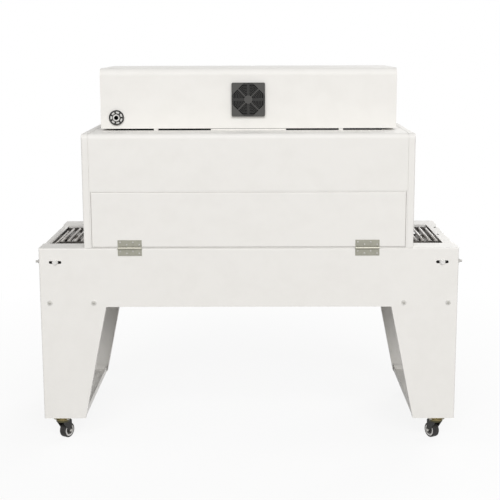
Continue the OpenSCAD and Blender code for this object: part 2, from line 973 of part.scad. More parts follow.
module speed_knob() {
    color(DARK)
        at_control(1) {
            cylinder(d = knob_d, h = knob_skirt_t);
            cylinder(d = knob_d - knob_skirt_t, h = knob_l);
        }
}

module push_buttons() {
    color(GREY)
        for (i = [1 : button_count])
            at_control(1 + i) {
                cylinder(d = button_bezel_d, h = button_bezel_t);
                cylinder(d = button_cap_d, h = button_l);
            }
}

// Places a caster piece: +X is the way that the caster trails
module at_caster(sx, sy, turn) {
    translate([sx * caster_x, sy * caster_y, 0])
        rotate(turn) children();
}

// Plate, ball race and swivel pin of each caster
module caster_plates() {
    pin_z = crown_z - 2;
    color(ZINC)
        for (sx = [-1, 1], sy = [-1, 1])
            translate([sx * caster_x, sy * caster_y, 0]) {
                translate([0, 0, leg_z - caster_plate_t])
                    linear_extrude(caster_plate_t) round_square(caster_plate_w, caster_plate_r);
                translate([0, 0, race_z]) cylinder(d = race_d, h = race_h);
                translate([0, 0, pin_z]) cylinder(d = swivel_d, h = race_z - pin_z);
            }
}

// Fork that turns on the swivel pin, with two cheeks and the wheel's axle
module fork() {
    half_w = cheek_y + fork_t;
    back = race_d / 2;
    difference() {
        union() {
            translate([0, 0, crown_z]) cylinder(d = race_d, h = crown_t);
            translate([-back / 2, -half_w, crown_z])
                cube([back / 2 + trail, 2 * half_w, crown_t]);
            for (s = [0, 1])
                mirror([0, s, 0])
                    along_y(cheek_y, fork_t) {
                        polygon([
                            [-back / 2, crown_top],
                            [-back / 2, crown_z - crown_t],
                            [trail - fork_end_r, wheel_r],
                            [trail + fork_end_r, wheel_r],
                            [trail + fork_end_r, crown_z],
                            [trail, crown_top]
                        ]);
                        translate([trail, wheel_r]) circle(fork_end_r);
                    }
        }
        translate([0, 0, crown_z - 1])
            cylinder(d = swivel_d + 2 * running_gap, h = crown_t + 2);
    }
    translate([trail, 0, wheel_r])
        rotate([90, 0, 0]) cylinder(d = axle_d, h = 2 * half_w, center = true);
}

// Places a wheel piece on its axle
module on_axle() {
    translate([trail, 0, wheel_r])
        rotate([90, 0, 0]) children();
}

// Tread ring of a wheel with round shoulders
module tread() {
    shoulder = tread_t / 2;
    on_axle()
        rotate_extrude() {
            translate([rim_r + fit_gap, -tread_w / 2])
                square([tread_t - shoulder - fit_gap, tread_w]);
            translate([rim_r + fit_gap, -tread_w / 2 + shoulder])
                square([tread_t - fit_gap, tread_w - 2 * shoulder]);
            for (s = [-1, 1])
                translate([wheel_r - shoulder, s * (tread_w / 2 - shoulder)]) circle(shoulder);
        }
}

// Hub of a wheel: a rim, a thinner web and a middle that runs on the axle
module hub() {
    rim_t = tread_t;
    web_w = tread_w / 3;
    mid_r = axle_d;
    on_axle()
        rotate_extrude() {
            translate([rim_r - rim_t, -tread_w / 2])
                square([rim_t, tread_w]);
            translate([axle_d / 2 + running_gap, -web_w / 2])
                square([rim_r - rim_t / 2 - axle_d / 2, web_w]);
            translate([axle_d / 2 + running_gap, -hub_w / 2])
                square([mid_r - axle_d / 2, hub_w]);
        }
}

module rear_left_fork() {
    color(DARK) at_caster(-1, -1, rear_left_turn) fork();
}

module rear_right_fork() {
    color(DARK) at_caster(1, -1, rear_right_turn) fork();
}

module front_left_fork() {
    color(DARK) at_caster(-1, 1, front_left_turn) fork();
}

module front_right_fork() {
    color(DARK) at_caster(1, 1, front_right_turn) fork();
}

module rear_left_tread() {
    color(DARK) at_caster(-1, -1, rear_left_turn) tread();
}

module rear_right_tread() {
    color(DARK) at_caster(1, -1, rear_right_turn) tread();
}

module front_left_tread() {
    color(DARK) at_caster(-1, 1, front_left_turn) tread();
}

module front_right_tread() {
    color(DARK) at_caster(1, 1, front_right_turn) tread();
}

module rear_left_hub() {
    color(GREY) at_caster(-1, -1, rear_left_turn) hub();
}

module rear_right_hub() {
    color(GREY) at_caster(1, -1, rear_right_turn) hub();
}

module front_left_hub() {
    color(GREY) at_caster(-1, 1, front_left_turn) hub();
}

module front_right_hub() {
    color(GREY) at_caster(1, 1, front_right_turn) hub();
}

rear_side_panel();
front_side_panel();
left_end_plate();
right_end_plate();
bottom_pan();
left_foot_plate();
right_foot_plate();
conveyor_chain();
left_shaft();
right_shaft();
tension_screws();
rear_chain_rail();
front_chain_rail();
left_end_wall();
right_end_wall();
top_cover();
rear_flap();
front_panel();
tunnel_lining();
hinge_base_leaves();
hinge_flap_leaves();
hinge_pins();
raised_plate();
spacer_rails();
control_box_base();
control_box_cover();
fan_guard();
fan_filter();
cable_gland();
temperature_controller();
speed_knob();
push_buttons();
caster_plates();
rear_left_fork();
rear_right_fork();
front_left_fork();
front_right_fork();
rear_left_tread();
rear_right_tread();
front_left_tread();
front_right_tread();
rear_left_hub();
rear_right_hub();
front_left_hub();
front_right_hub();
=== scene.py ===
"""Heat shrink tunnel: finishes, conveyor, fasteners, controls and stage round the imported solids."""
import json
import math

import bmesh
import bpy
from bpy.props import FloatProperty, FloatVectorProperty, IntProperty, PointerProperty
from mathutils import Matrix, Vector


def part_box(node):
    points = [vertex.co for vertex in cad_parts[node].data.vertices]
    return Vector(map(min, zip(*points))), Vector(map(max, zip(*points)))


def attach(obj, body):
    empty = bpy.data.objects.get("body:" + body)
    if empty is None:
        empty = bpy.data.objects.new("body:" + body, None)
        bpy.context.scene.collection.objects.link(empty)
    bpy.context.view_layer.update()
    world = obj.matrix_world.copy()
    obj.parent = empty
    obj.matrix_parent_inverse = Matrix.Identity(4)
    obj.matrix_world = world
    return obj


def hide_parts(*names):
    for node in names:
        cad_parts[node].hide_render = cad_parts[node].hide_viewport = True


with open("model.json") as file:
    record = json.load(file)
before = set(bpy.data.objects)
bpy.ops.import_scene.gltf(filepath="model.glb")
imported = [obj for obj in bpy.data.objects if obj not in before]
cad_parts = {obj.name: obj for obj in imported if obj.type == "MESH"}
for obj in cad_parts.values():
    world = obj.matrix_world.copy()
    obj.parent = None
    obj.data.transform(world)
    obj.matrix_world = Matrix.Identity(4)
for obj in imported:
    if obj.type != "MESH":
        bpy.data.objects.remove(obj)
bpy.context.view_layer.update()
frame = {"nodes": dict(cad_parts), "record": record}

bl_info = {
    "name": "Heat shrink tunnel",
    "version": (1, 0, 0),
    "blender": (4, 5, 0),
    "location": "View3D > Sidebar > Shrink tunnel",
    "description": "Finishes a heat shrink tunnel and adds its conveyor, fasteners and stage",
    "category": "Object",
}

MM = 0.001
CORNERS = ("rear_left", "rear_right", "front_left", "front_right")
SIDES = (-1, 1)
REAR, FRONT, UP = Vector((0, -1, 0)), Vector((0, 1, 0)), Vector((0, 0, 1))
IN_PLACE = Matrix.Identity(4)
LYING = Matrix.Rotation(math.pi / 2, 4, "X")

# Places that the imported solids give
PANEL_LO, PANEL_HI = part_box("rear_side_panel")
CHAIN_LO, CHAIN_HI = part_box("conveyor_chain")
WALL_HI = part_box("right_end_wall")[1]
BOX_LO, BOX_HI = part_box("control_box_cover")
SHAFT_X, _, SHAFT_Z = sum(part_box("right_shaft"), Vector()) / 2
JOINTS = {j["name"]: j for j in frame["record"]["behaviour"]["joints"]}


# Properties

def length(name, description, default):
    """A length in metres for a property group."""
    return FloatProperty(name=name, description=description, default=default, unit="LENGTH",
                         subtype="DISTANCE", min=0.0, precision=5)


def share(name, description, default):
    """A value from 0 to 1 for a property group."""
    return FloatProperty(name=name, description=description, default=default, min=0.0, max=1.0,
                         subtype="FACTOR")


def colour(name, description, default):
    """A linear colour for a property group."""
    return FloatVectorProperty(name=name, description=description, default=default, size=3,
                               min=0.0, max=1.0, subtype="COLOR")


def power(name, description, default):
    """A lamp's power for a property group."""
    return FloatProperty(name=name, description=description, default=default, min=0.0,
                         unit="POWER")


class TunnelFinishes(bpy.types.PropertyGroup):
    """Colours and textures of the painted, plated and moulded surfaces, and of some painted
    highlights and shade.
    """
    powder_coat: colour("Powder coat", "Paint of the sheet metal", (0.80, 0.785, 0.755))
    paint_grain: length("Paint grain", "Size of the powder coat's fine texture", 0.0012)
    paint_roughness: share("Paint roughness", "Roughness of the powder coat", 0.52)
    rod_steel: colour("Rod steel", "Satin drawn steel of the rods", (0.64, 0.615, 0.585))
    chain_steel: colour("Chain steel", "Oiled steel of the chains", (0.16, 0.15, 0.14))
    plain_steel: colour("Plain steel", "Plated steel of screws and rails", (0.42, 0.41, 0.39))
    # Painted shade: the pan's steel is darkened to stand in for the shade inside the base under the
    # conveyor
    pan_steel: colour("Pan steel", "Sheet of the pan under the conveyor", (0.10, 0.095, 0.088))
    hinge_steel: colour("Hinge steel", "Satin steel of the hinges", (0.305, 0.300, 0.250))
    # Painted highlight: a lighter band on the hinges' knuckles for the light that falls on them
    knuckle_highlight: colour("Hinge knuckle", "Polished knuckles of the hinges", (0.44, 0.425, 0.36))
    screw_steel: colour("Screw steel", "Bright plating of the screws", (0.44, 0.43, 0.40))
    bolt_steel: colour("Bolt steel", "Dull plating of the leg washers", (0.60, 0.59, 0.565))
    lining_steel: colour("Lining steel", "Sheet that lines the tunnel", (0.50, 0.49, 0.47))
    bright_zinc: colour("Bright zinc", "Plating of shafts and their nuts", (0.70, 0.69, 0.67))
    yellow_zinc: colour("Yellow zinc", "Plating of the caster plates", (0.26, 0.21, 0.105))
    crown_zinc: colour("Crown zinc", "Plating on the crowns of the forks", (0.062, 0.056, 0.024))
    fork_black: colour("Fork black", "Lacquer of the caster forks", (0.022, 0.021, 0.020))
    tread_rubber: colour("Tread rubber", "Treads of the wheels", (0.022, 0.021, 0.021))
    black_plastic: colour("Black plastic", "Gland, knob and controller", (0.026, 0.025, 0.024))
    guard_grille: colour("Guard grille", "Bars of the fan guard", (0.021, 0.020, 0.019))
    guard_plate: colour("Guard plate", "Hub and corners of the fan guard", (0.062, 0.060, 0.057))
    # The filter's own foam colour, also used for dark strips that paint the shade in the gap under
    # the control box
    filter_foam: colour("Filter foam", "Foam of the filter and the seal", (0.012, 0.012, 0.012))
    grey_plastic: colour("Grey plastic", "Wheel rims and gland inlays", (0.66, 0.65, 0.63))
    # Painted shade: a dark colour for the shade in the recessed middle of the wheel hubs
    hub_core: colour("Hub core", "Recessed middle of the wheel hubs", (0.10, 0.098, 0.095))
    display_window: colour("Display window", "Controller's windows", (0.012, 0.012, 0.014))
    start_cap: colour("Start cap", "Cap of the start button", (0.02, 0.26, 0.07))
    stop_cap: colour("Stop cap", "Cap of the stop button", (0.42, 0.02, 0.02))
    fan_cap: colour("Fan cap", "Cap of the fan's button", (0.66, 0.65, 0.63))


class TunnelConveyor(bpy.types.PropertyGroup):
    """Sizes of the roller chains and the rods."""
    links: IntProperty(name="Links", description="Chain links in one strand", default=244, min=20)
    strand_width: length("Strand width", "Width of one strand of chain", 0.012)
    strand_height: length("Strand height", "Height that the solid strand takes up", 0.014)
    first_rod: length("First rod", "Way along the chain from the left shaft to a rod", 0.020)
    plate_height: length("Plate height", "Height of a link plate", 0.0115)
    plate_thickness: length("Plate thickness", "Thickness of a link plate", 0.0012)
    roller_diameter: length("Roller diameter", "Diameter of a chain roller", 0.0085)
    rod_diameter: length("Rod diameter", "Diameter of a carrying rod", 0.010)
    stem_diameter: length("Stem diameter", "Diameter of a rod's stem in the chain", 0.005)
    teeth: IntProperty(name="Teeth", description="Teeth of a chain wheel", default=22, min=6)
    tooth_height: length("Tooth height", "Height of a tooth above the pitch line", 0.0024)


class TunnelFasteners(bpy.types.PropertyGroup):
    """Sizes of screws and nuts."""
    leg_head: length("Leg screw head", "Head diameter of the screws on the legs", 0.011)
    washer: length("Washer", "Diameter of the washers on the legs", 0.020)
    washer_height: length("Washer height", "Thickness of the washers on the legs", 0.0016)
    panel_head: length("Panel screw head", "Head diameter on walls and panels", 0.008)
    hinge_head: length("Hinge screw head", "Head diameter of the screws on the hinges", 0.0075)
    head_share: share("Head share", "Height of a head as a share of its diameter", 0.30)
    hinge_share: share("Hinge head share", "The same share on the hinges", 0.24)
    nut_width: length("Nut width", "Width over the corners of the caster bolts", 0.0115)
    nut_height: length("Nut height", "Height of the caster bolts' heads", 0.0045)
    thread: length("Thread", "Diameter of the tension screws' thread", 0.0084)
    thread_pitch: length("Thread pitch", "Pitch of the tension screws' thread", 0.00125)


class TunnelStage(bpy.types.PropertyGroup):
    """Floor, lamps and camera."""
    floor: colour("Floor", "Colour of the floor as it is seen", (0.90, 0.90, 0.895))
    floor_light: colour("Floor light", "Colour of the floor as it lights", (0.56, 0.55, 0.54))
    ambient: share("Ambient", "Strength of the even light from all sides", 0.35)
    key: power("Key", "Power of the main soft lamp", 3500.0)
    fill: power("Fill", "Power of the soft lamp on the far side", 1950.0)
    camera: FloatVectorProperty(name="Camera", description="Place of the camera", size=3,
                                default=(0.0357, -4.391, 1.479), unit="LENGTH",
                                subtype="TRANSLATION")
    focal: FloatProperty(name="Focal length", description="Focal length for a 36 mm wide sensor",
                         default=81.36, min=1.0, unit="CAMERA")
    turn: FloatVectorProperty(name="Turn", description="Yaw, tilt and roll of the camera", size=3,
                              default=(-0.0074, 0.1814, -0.0032), unit="ROTATION",
                              subtype="EULER")


GROUPS = {
    "tunnel_finishes": TunnelFinishes,
    "tunnel_conveyor": TunnelConveyor,
    "tunnel_fasteners": TunnelFasteners,
    "tunnel_stage": TunnelStage,
}


# Node helpers

def add_node(tree, kind, inputs=None, **settings):
    """A node with its settings and its inputs, each a value or a socket to link from."""
    made = tree.nodes.new(kind)
    for key, value in settings.items():
        setattr(made, key, value)
    for key, value in (inputs or {}).items():
        if isinstance(value, bpy.types.NodeSocket):
            tree.links.new(value, made.inputs[key])
        else:
            made.inputs[key].default_value = value
    return made


def math_node(tree, operation, a, b=0.0):
    """The result of one calculation with two values or sockets."""
    return add_node(tree, "ShaderNodeMath", {0: a, 1: b}, operation=operation).outputs[0]


def vector_node(tree, operation, a, b=(0.0, 0.0, 0.0)):
    """The result of one calculation with two vectors or sockets."""
    made = add_node(tree, "ShaderNodeVectorMath", {0: a, 1: b}, operation=operation)
    return made.outputs["Value" if operation in ("LENGTH", "DOT_PRODUCT") else "Vector"]


def distance(tree, value, middle):
    """How far a socket's value is from a middle, on either side."""
    return math_node(tree, "ABSOLUTE", math_node(tree, "SUBTRACT", value, middle))


def highest(tree, first, *others):
    """The highest of some values or sockets."""
    for other in others:
        first = math_node(tree, "MAXIMUM", first, other)
    return first


def ramp(tree, value, low, high, at_low=0.0, at_high=1.0):
    """A value that changes evenly between two levels of another and stays beyond them."""
    return add_node(tree, "ShaderNodeMapRange", {
        "Value": value, "From Min": low, "From Max": high,
        "To Min": at_low, "To Max": at_high}).outputs[0]


def noise(tree, where, scale, detail):
    """A noise from 0 to 1 at a place."""
    return add_node(tree, "ShaderNodeTexNoise", {
        "Vector": where, "Scale": scale, "Detail": detail}).outputs[0]


def mix_colours(tree, mask, low, high):
    """One colour where a mask is low and another where it is high."""
    return add_node(tree, "ShaderNodeMix", {"Factor": mask, "A": low, "B": high},
                    data_type="RGBA").outputs["Result"]


def seen_rays(tree):
    """1 for rays that show a thing itself, 0 for those that only carry its light."""
    path = tree.nodes.new("ShaderNodeLightPath").outputs
    return highest(tree, path["Is Glossy Ray"], path["Is Transmission Ray"],
                   path["Is Camera Ray"])


def new_group(name, kind, inputs, outputs):
    """A node group with named sockets, given as (name, socket type, default)."""
    tree = bpy.data.node_groups.new(name, kind)
    for label, socket, default in inputs:
        made = tree.interface.new_socket(label, in_out="INPUT", socket_type=socket)
        if default is not None:
            made.default_value = default
    for label, socket in outputs:
        tree.interface.new_socket(label, in_out="OUTPUT", socket_type=socket)
    return tree, tree.nodes.new("NodeGroupInput").outputs, tree.nodes.new("NodeGroupOutput").inputs


# Frequencies beside the main one, and the noise levels between which grime sets in
FINER, COARSER = 9.0, 0.06
PATCH_EDGE = (0.42, 0.68)


def build_tone(name):
    """Uneven tone: a colour that drifts softly over the surface."""
    tree, given, result = new_group(name, "ShaderNodeTree", [
        ("Vector", "NodeSocketVector", None),
        ("Color", "NodeSocketColor", (0.8, 0.8, 0.8, 1.0)),
        ("Spread", "NodeSocketFloat", 0.05),
        ("Frequency", "NodeSocketFloat", 2.0),
    ], [("Color", "NodeSocketColor")])
    wide = noise(tree, given["Vector"], given["Frequency"], 3.0)
    fine_scale = math_node(tree, "MULTIPLY", given["Frequency"], FINER)
    fine = noise(tree, given["Vector"], fine_scale, 4.0)
    mean = math_node(tree, "MULTIPLY", math_node(tree, "ADD", wide, fine), 0.5)
    swing = math_node(tree, "MULTIPLY", math_node(tree, "SUBTRACT", mean, 0.5), 2.0)
    shade = math_node(tree, "ADD", math_node(tree, "MULTIPLY", swing, given["Spread"]), 1.0)
    scaled = add_node(tree, "ShaderNodeVectorMath", {0: given["Color"]}, operation="SCALE")
    tree.links.new(shade, scaled.inputs["Scale"])
    tree.links.new(scaled.outputs[0], result["Color"])
    return tree


def build_grain(name):
    """Fine grain: a height and a roughness for moulded, coated or brushed surfaces."""
    tree, given, result = new_group(name, "ShaderNodeTree", [
        ("Vector", "NodeSocketVector", None),
        ("Frequency", "NodeSocketFloat", 900.0),
        ("Roughness", "NodeSocketFloat", 0.4),
        ("Spread", "NodeSocketFloat", 0.08),
    ], [("Height", "NodeSocketFloat"), ("Roughness", "NodeSocketFloat")])
    low_scale = math_node(tree, "MULTIPLY", given["Frequency"], COARSER)
    swing = math_node(tree, "SUBTRACT", noise(tree, given["Vector"], low_scale, 3.0), 0.5)
    rough = math_node(tree, "ADD", math_node(tree, "MULTIPLY", swing, given["Spread"]),
                      given["Roughness"])
    tree.links.new(noise(tree, given["Vector"], given["Frequency"], 2.0), result["Height"])
    tree.links.new(rough, result["Roughness"])
    return tree


def build_grime(name):
    """Grime: changes a colour in patches, as far as the amount says."""
    tree, given, result = new_group(name, "ShaderNodeTree", [
        ("Vector", "NodeSocketVector", None),
        ("Color", "NodeSocketColor", (0.8, 0.8, 0.8, 1.0)),
        ("Grime", "NodeSocketColor", (0.10, 0.08, 0.06, 1.0)),
        ("Amount", "NodeSocketFloat", 0.2),
        ("Frequency", "NodeSocketFloat", 30.0),
    ], [("Color", "NodeSocketColor")])
    patches = ramp(tree, noise(tree, given["Vector"], given["Frequency"], 6.0), *PATCH_EDGE)
    mask = math_node(tree, "MULTIPLY", patches, given["Amount"])
    tree.links.new(mix_colours(tree, mask, given["Color"], given["Grime"]), result["Color"])
    return tree


TONE = ("Tunnel tone", build_tone)
GRAIN = ("Tunnel grain", build_grain)
GRIME = ("Tunnel grime", build_grime)


def place_group(tree, which, inputs):
    """One of the shader groups, built once and placed in a material."""
    name, builder = which
    group = bpy.data.node_groups.get(name) or builder(name)
    return add_node(tree, "ShaderNodeGroup", inputs, node_tree=group).outputs


# Finishes

CAP = dict(roughness=0.22, spread=0.06, drift=40.0, bump=0.04, coat=0.3)
SPARK = dict(roughness=0.46, spread=0.15, drift=20.0, grain=0.0007, bump=0.20, relief=0.0002,
             rough_spread=0.15, specular=0.35)
MOULDED = dict(spread=0.08, drift=25.0, grain=0.0008, bump=0.15, grime=0.18, grime_scale=80.0)

# What surface() takes beside the colour, by the names of the colours in the settings
FINISHES = {
    "powder_coat": dict(spread=0.025, drift=1.6, relief=0.0002, rough_spread=0.12, grime=0.05,
                        grime_scale=14.0, grime_colour=(0.45, 0.42, 0.37), specular=0.25),
    "rod_steel": dict(roughness=0.46, metallic=0.35, spread=0.10, drift=18.0, grain=0.0006,
                      bump=0.12, stretch=(1.0, 0.04, 1.0), rough_spread=0.25, grime=0.22,
                      grime_scale=60.0),
    "chain_steel": dict(roughness=0.36, metallic=1.0, spread=0.18, drift=40.0, grain=0.0008,
                        bump=0.15, grime=0.45, grime_scale=110.0),
    "plain_steel": dict(roughness=0.38, metallic=1.0, spread=0.12, drift=22.0, grain=0.0009,
                        rough_spread=0.2, grime=0.18, grime_scale=70.0),
    # Dark colour and dark patches are painted shade under the conveyor
    "pan_steel": dict(roughness=0.55, metallic=0.6, spread=0.20, drift=6.0, rough_spread=0.2,
                      grime=0.5, grime_scale=22.0, grime_colour=(0.035, 0.028, 0.022)),
    "hinge_steel": dict(roughness=0.48, metallic=0.7, spread=0.12, drift=30.0, grain=0.0004,
                        bump=0.15, stretch=(0.05, 1.0, 1.0), rough_spread=0.2, grime=0.10,
                        grime_scale=90.0),
    "screw_steel": dict(roughness=0.44, metallic=1.0, spread=0.08, drift=60.0, grain=0.0005,
                        bump=0.06, grime=0.08, grime_scale=200.0),
    "bolt_steel": dict(roughness=0.52, metallic=0.85, spread=0.15, drift=60.0, grain=0.0006,
                       bump=0.12, grime=0.15, grime_scale=150.0),
    "lining_steel": dict(roughness=0.34, metallic=1.0, spread=0.14, drift=3.0, grain=0.0006,
                         stretch=(0.03, 1.0, 1.0), rough_spread=0.25, grime=0.20,
                         grime_scale=9.0, grime_colour=(0.25, 0.17, 0.09)),
    "bright_zinc": dict(roughness=0.40, metallic=0.5, spread=0.10, drift=40.0, grain=0.0007,
                        bump=0.08, grime=0.10, grime_scale=90.0),
    "yellow_zinc": dict(roughness=0.34, metallic=0.9, spread=0.30, drift=45.0, grain=0.0008,
                        grime=0.5, grime_scale=38.0, grime_colour=(0.14, 0.14, 0.062)),
    "fork_black": dict(roughness=0.30, spread=0.15, drift=30.0, bump=0.15, rough_spread=0.2,
                       coat=0.1, specular=0.25),
    "tread_rubber": dict(roughness=0.62, spread=0.20, drift=50.0, grain=0.0009, bump=0.35,
                         rough_spread=0.15, grime=0.30, grime_scale=70.0,
                         grime_colour=(0.07, 0.065, 0.055), specular=0.3),
    "filter_foam": dict(roughness=0.90, spread=0.5, drift=250.0, grain=0.0018, bump=0.9,
                        relief=0.0015, rough_spread=0.05, specular=0.1),
    "display_window": dict(roughness=0.08, spread=0.1, drift=30.0, grain=0.004, bump=0.01,
                           rough_spread=0.04, coat=0.5),
    "black_plastic": SPARK,
    "guard_grille": SPARK,
    "grey_plastic": dict(roughness=0.40, **MOULDED),
    # Painted shade of the hubs' recessed middles
    "hub_core": dict(roughness=0.45, **MOULDED),
    "start_cap": CAP,
    "stop_cap": CAP,
    "fan_cap": CAP,
}

# Levels at which the two-coloured finishes change
# Edges of the painted highlight along the hinges' knuckles
KNUCKLE_HIGHLIGHT = (2.6 * MM, 4.2 * MM)
# Radius inside which the hubs get their painted shade
HUB_EDGE = (16.0 * MM, 17.5 * MM)
GUARD_HUB, GUARD_CORNER = 15.0 * MM, 54.5 * MM
GUARD_SPOKE, SPOKE_SHARE = 4.0 * MM, 0.7
CROWN_REACH, CROWN_HEIGHT = 8.0 * MM, 6.0 * MM


def rgba(values):
    """A colour with full alpha."""
    return (*values, 1.0)


def surface(name, base, roughness, metallic=0.0, spread=0.05, drift=2.0, grain=0.001,
            bump=0.1, relief=0.0003, rough_spread=0.1, grime=0.0, grime_scale=30.0,
            grime_colour=(0.06, 0.05, 0.04), stretch=(1.0, 1.0, 1.0), coat=0.0, specular=0.5):
    """A material of drifting tone, fine grain and grime on the piece's own coordinates."""
    made = bpy.data.materials.get(name)
    if made:
        return made
    made = bpy.data.materials.new(name)
    made.use_nodes = True
    tree = made.node_tree
    shader = tree.nodes["Principled BSDF"].inputs
    where = tree.nodes.new("ShaderNodeTexCoord").outputs["Object"]
    drawn = add_node(tree, "ShaderNodeMapping", {"Vector": where, "Scale": stretch}).outputs[0]
    tone = place_group(tree, TONE, {"Vector": where, "Color": rgba(base), "Spread": spread,
                                    "Frequency": drift})
    dirt = place_group(tree, GRIME, {"Vector": where, "Color": tone["Color"], "Amount": grime,
                                     "Grime": rgba(grime_colour), "Frequency": grime_scale})
    fine = place_group(tree, GRAIN, {"Vector": drawn, "Frequency": 1.0 / grain,
                                     "Roughness": roughness, "Spread": rough_spread})
    raised = add_node(tree, "ShaderNodeBump", {
        "Strength": bump, "Distance": relief, "Height": fine["Height"]})
    tree.links.new(dirt["Color"], shader["Base Color"])
    tree.links.new(fine["Roughness"], shader["Roughness"])
    tree.links.new(raised.outputs[0], shader["Normal"])
    shader["Metallic"].default_value = metallic
    shader["Coat Weight"].default_value = coat
    shader["Specular IOR Level"].default_value = specular
    return made


def finishes():
    """The scene's finish settings."""
    return bpy.context.scene.tunnel_finishes


def finish(key, name=None, **more):
    """The material of a finish, in the colour that the settings give it."""
    name = name or key.replace("_", " ").capitalize()
    return surface(name, getattr(finishes(), key), **FINISHES[key], **more)


def paint():
    """Semi-matt powder coat with a fine orange-peel texture."""
    return finish("powder_coat", roughness=finishes().paint_roughness,
                  grain=finishes().paint_grain)


def two_tone(key, name, second, mask):
    """A finish with a second colour where mask(tree, where) is high."""
    made = bpy.data.materials.get(name)
    if made:
        return made
    made = finish(key, name)
    tree = made.node_tree
    base = tree.nodes["Principled BSDF"].inputs["Base Color"]
    where = tree.nodes.new("ShaderNodeTexCoord").outputs["Object"]
    mixed = mix_colours(tree, mask(tree, where), base.links[0].from_socket, rgba(second))
    tree.links.new(mixed, base)
    return made


def split(tree, where):
    """The X, Y and Z of a place."""
    return add_node(tree, "ShaderNodeSeparateXYZ", {0: where}).outputs


def hinge_steel():
    """Satin steel of the hinges, brushed along the pin, with a painted highlight: a lighter band
    along the knuckles for the light they catch.
    """
    def knuckle_highlight_band(tree, where):
        away = distance(tree, split(tree, where)["Z"], JOINTS["flap_hinge"]["pos_m"][2])
        return ramp(tree, away, *KNUCKLE_HIGHLIGHT, 1.0, 0.0)

    return two_tone("hinge_steel", "Hinge steel", finishes().knuckle_highlight, knuckle_highlight_band)


def guard_plastic():
    """Moulded plastic of the fan guard: black grille, greyer hub and corner plates."""
    low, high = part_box("fan_guard")

    def plates(tree, where):
        parts = split(tree, where)
        across = distance(tree, parts["X"], (low.x + high.x) / 2)
        along = distance(tree, parts["Z"], (low.z + high.z) / 2)
        slanted = math_node(tree, "MULTIPLY", math_node(tree, "ADD", across, along),
                            math.sqrt(0.5))
        hub = math_node(tree, "LESS_THAN", highest(tree, across, along, slanted), GUARD_HUB)
        corner = math_node(tree, "GREATER_THAN", slanted, GUARD_CORNER)
        spoke = math_node(tree, "LESS_THAN", distance(tree, across, along), GUARD_SPOKE)
        return highest(tree, math_node(tree, "MULTIPLY", spoke, SPOKE_SHARE), hub, corner)

    return two_tone("guard_grille", "Guard plastic", finishes().guard_plate, plates)


def hub_plastic(corner):
    """Moulded hub of one wheel: a light ring round a middle darkened with painted shade for its
    recess.
    """
    axle = JOINTS[corner + "_roll"]

    def ring(tree, where):
        away = vector_node(tree, "SUBTRACT", where, axle["pos_m"])
        across = vector_node(tree, "CROSS_PRODUCT", away, axle["axis"])
        return ramp(tree, vector_node(tree, "LENGTH", across), *HUB_EDGE)

    return two_tone("hub_core", "Hub plastic " + corner.replace("_", " "),
                    finishes().grey_plastic, ring)


def fork_black(corner):
    """Black lacquer of one caster fork, with the rear of its crown left in yellow zinc."""
    swivel = Vector(JOINTS[corner + "_swivel"]["pos_m"])
    trail = Vector(JOINTS[corner + "_roll"]["pos_m"]) - swivel
    trail.z = 0.0
    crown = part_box(corner + "_fork")[1].z - CROWN_HEIGHT

    def bare(tree, where):
        away = vector_node(tree, "SUBTRACT", where, swivel)
        along = vector_node(tree, "DOT_PRODUCT", away, trail.normalized())
        return math_node(tree, "MULTIPLY", math_node(tree, "LESS_THAN", along, CROWN_REACH),
                         math_node(tree, "GREATER_THAN", split(tree, where)["Z"], crown))

    return two_tone("fork_black", "Fork black " + corner.replace("_", " "),
                    finishes().crown_zinc, bare)


# Mesh helpers

def dress(material, *names):
    """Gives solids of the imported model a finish."""
    for name in names:
        solid = frame["nodes"][name]
        solid.data.materials.clear()
        solid.data.materials.append(material)


def keep_piece(name, mesh, body="frame", replaced=()):
    """Makes a finished mesh a piece of the object that moves with a body."""
    made = bpy.data.objects.new(name, mesh)
    bpy.context.scene.collection.objects.link(made)
    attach(made, body)
    if replaced:
        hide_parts(*replaced)


def mesh_from(bm, name, *materials):
    """A mesh from a bmesh, with outward faces."""
    bmesh.ops.remove_doubles(bm, verts=bm.verts, dist=1e-6)
    bmesh.ops.recalc_face_normals(bm, faces=bm.faces)
    made = bpy.data.meshes.new(name)
    bm.to_mesh(made)
    bm.free()
    for material in materials:
        made.materials.append(material)
    return made


def frame_piece(bm, name, slot, *materials, replaced=()):
    """Makes a bmesh a piece of the fixed frame."""
    keep_piece(name, mesh_from(bm, name, *materials), replaced=replaced)


def facing(origin, normal):
    """A matrix that puts local +Z along a direction, at a place."""
    return Matrix.Translation(origin) @ normal.to_track_quat("Z", "Y").to_matrix().to_4x4()


def middle_of(low, high):
    """The point halfway between two corners."""
    return (low + high) / 2


def arc(radius, angles):
    """Points on a circle."""
    return [(radius * math.cos(a), radius * math.sin(a)) for a in angles]


def ring_at(bm, outline, height, place=IN_PLACE):
    """Vertices of a flat outline of local X and Y at a height."""
    return [bm.verts.new(place @ Vector((x, y, height))) for x, y in outline]


def circle(bm, radius, height, segments, place=IN_PLACE):
    """A ring of vertices round local Z, or one vertex where the radius is nought."""
    outline = arc(radius, [2 * math.pi * i / segments for i in range(segments)])
    return ring_at(bm, outline if radius else [(0.0, 0.0)], height, place)


def bridge(bm, rings, slot=0, smooth=False):
    """Faces between each ring of vertices and the next."""
    for low, high in zip(rings, rings[1:]):
        for i in range(max(len(low), len(high))):
            j = i + 1
            corners = (low[i % len(low)], low[j % len(low)],
                       high[j % len(high)], high[i % len(high)])
            face = bm.faces.new(list(dict.fromkeys(corners)))
            face.material_index = slot
            face.smooth = smooth


def close_ends(bm, rings, slot=0):
    """Faces that close the first and the last ring, where they aren't single points."""
    for ring in (rings[0][::-1], rings[-1]):
        if len(ring) > 2:
            bm.faces.new(ring).material_index = slot


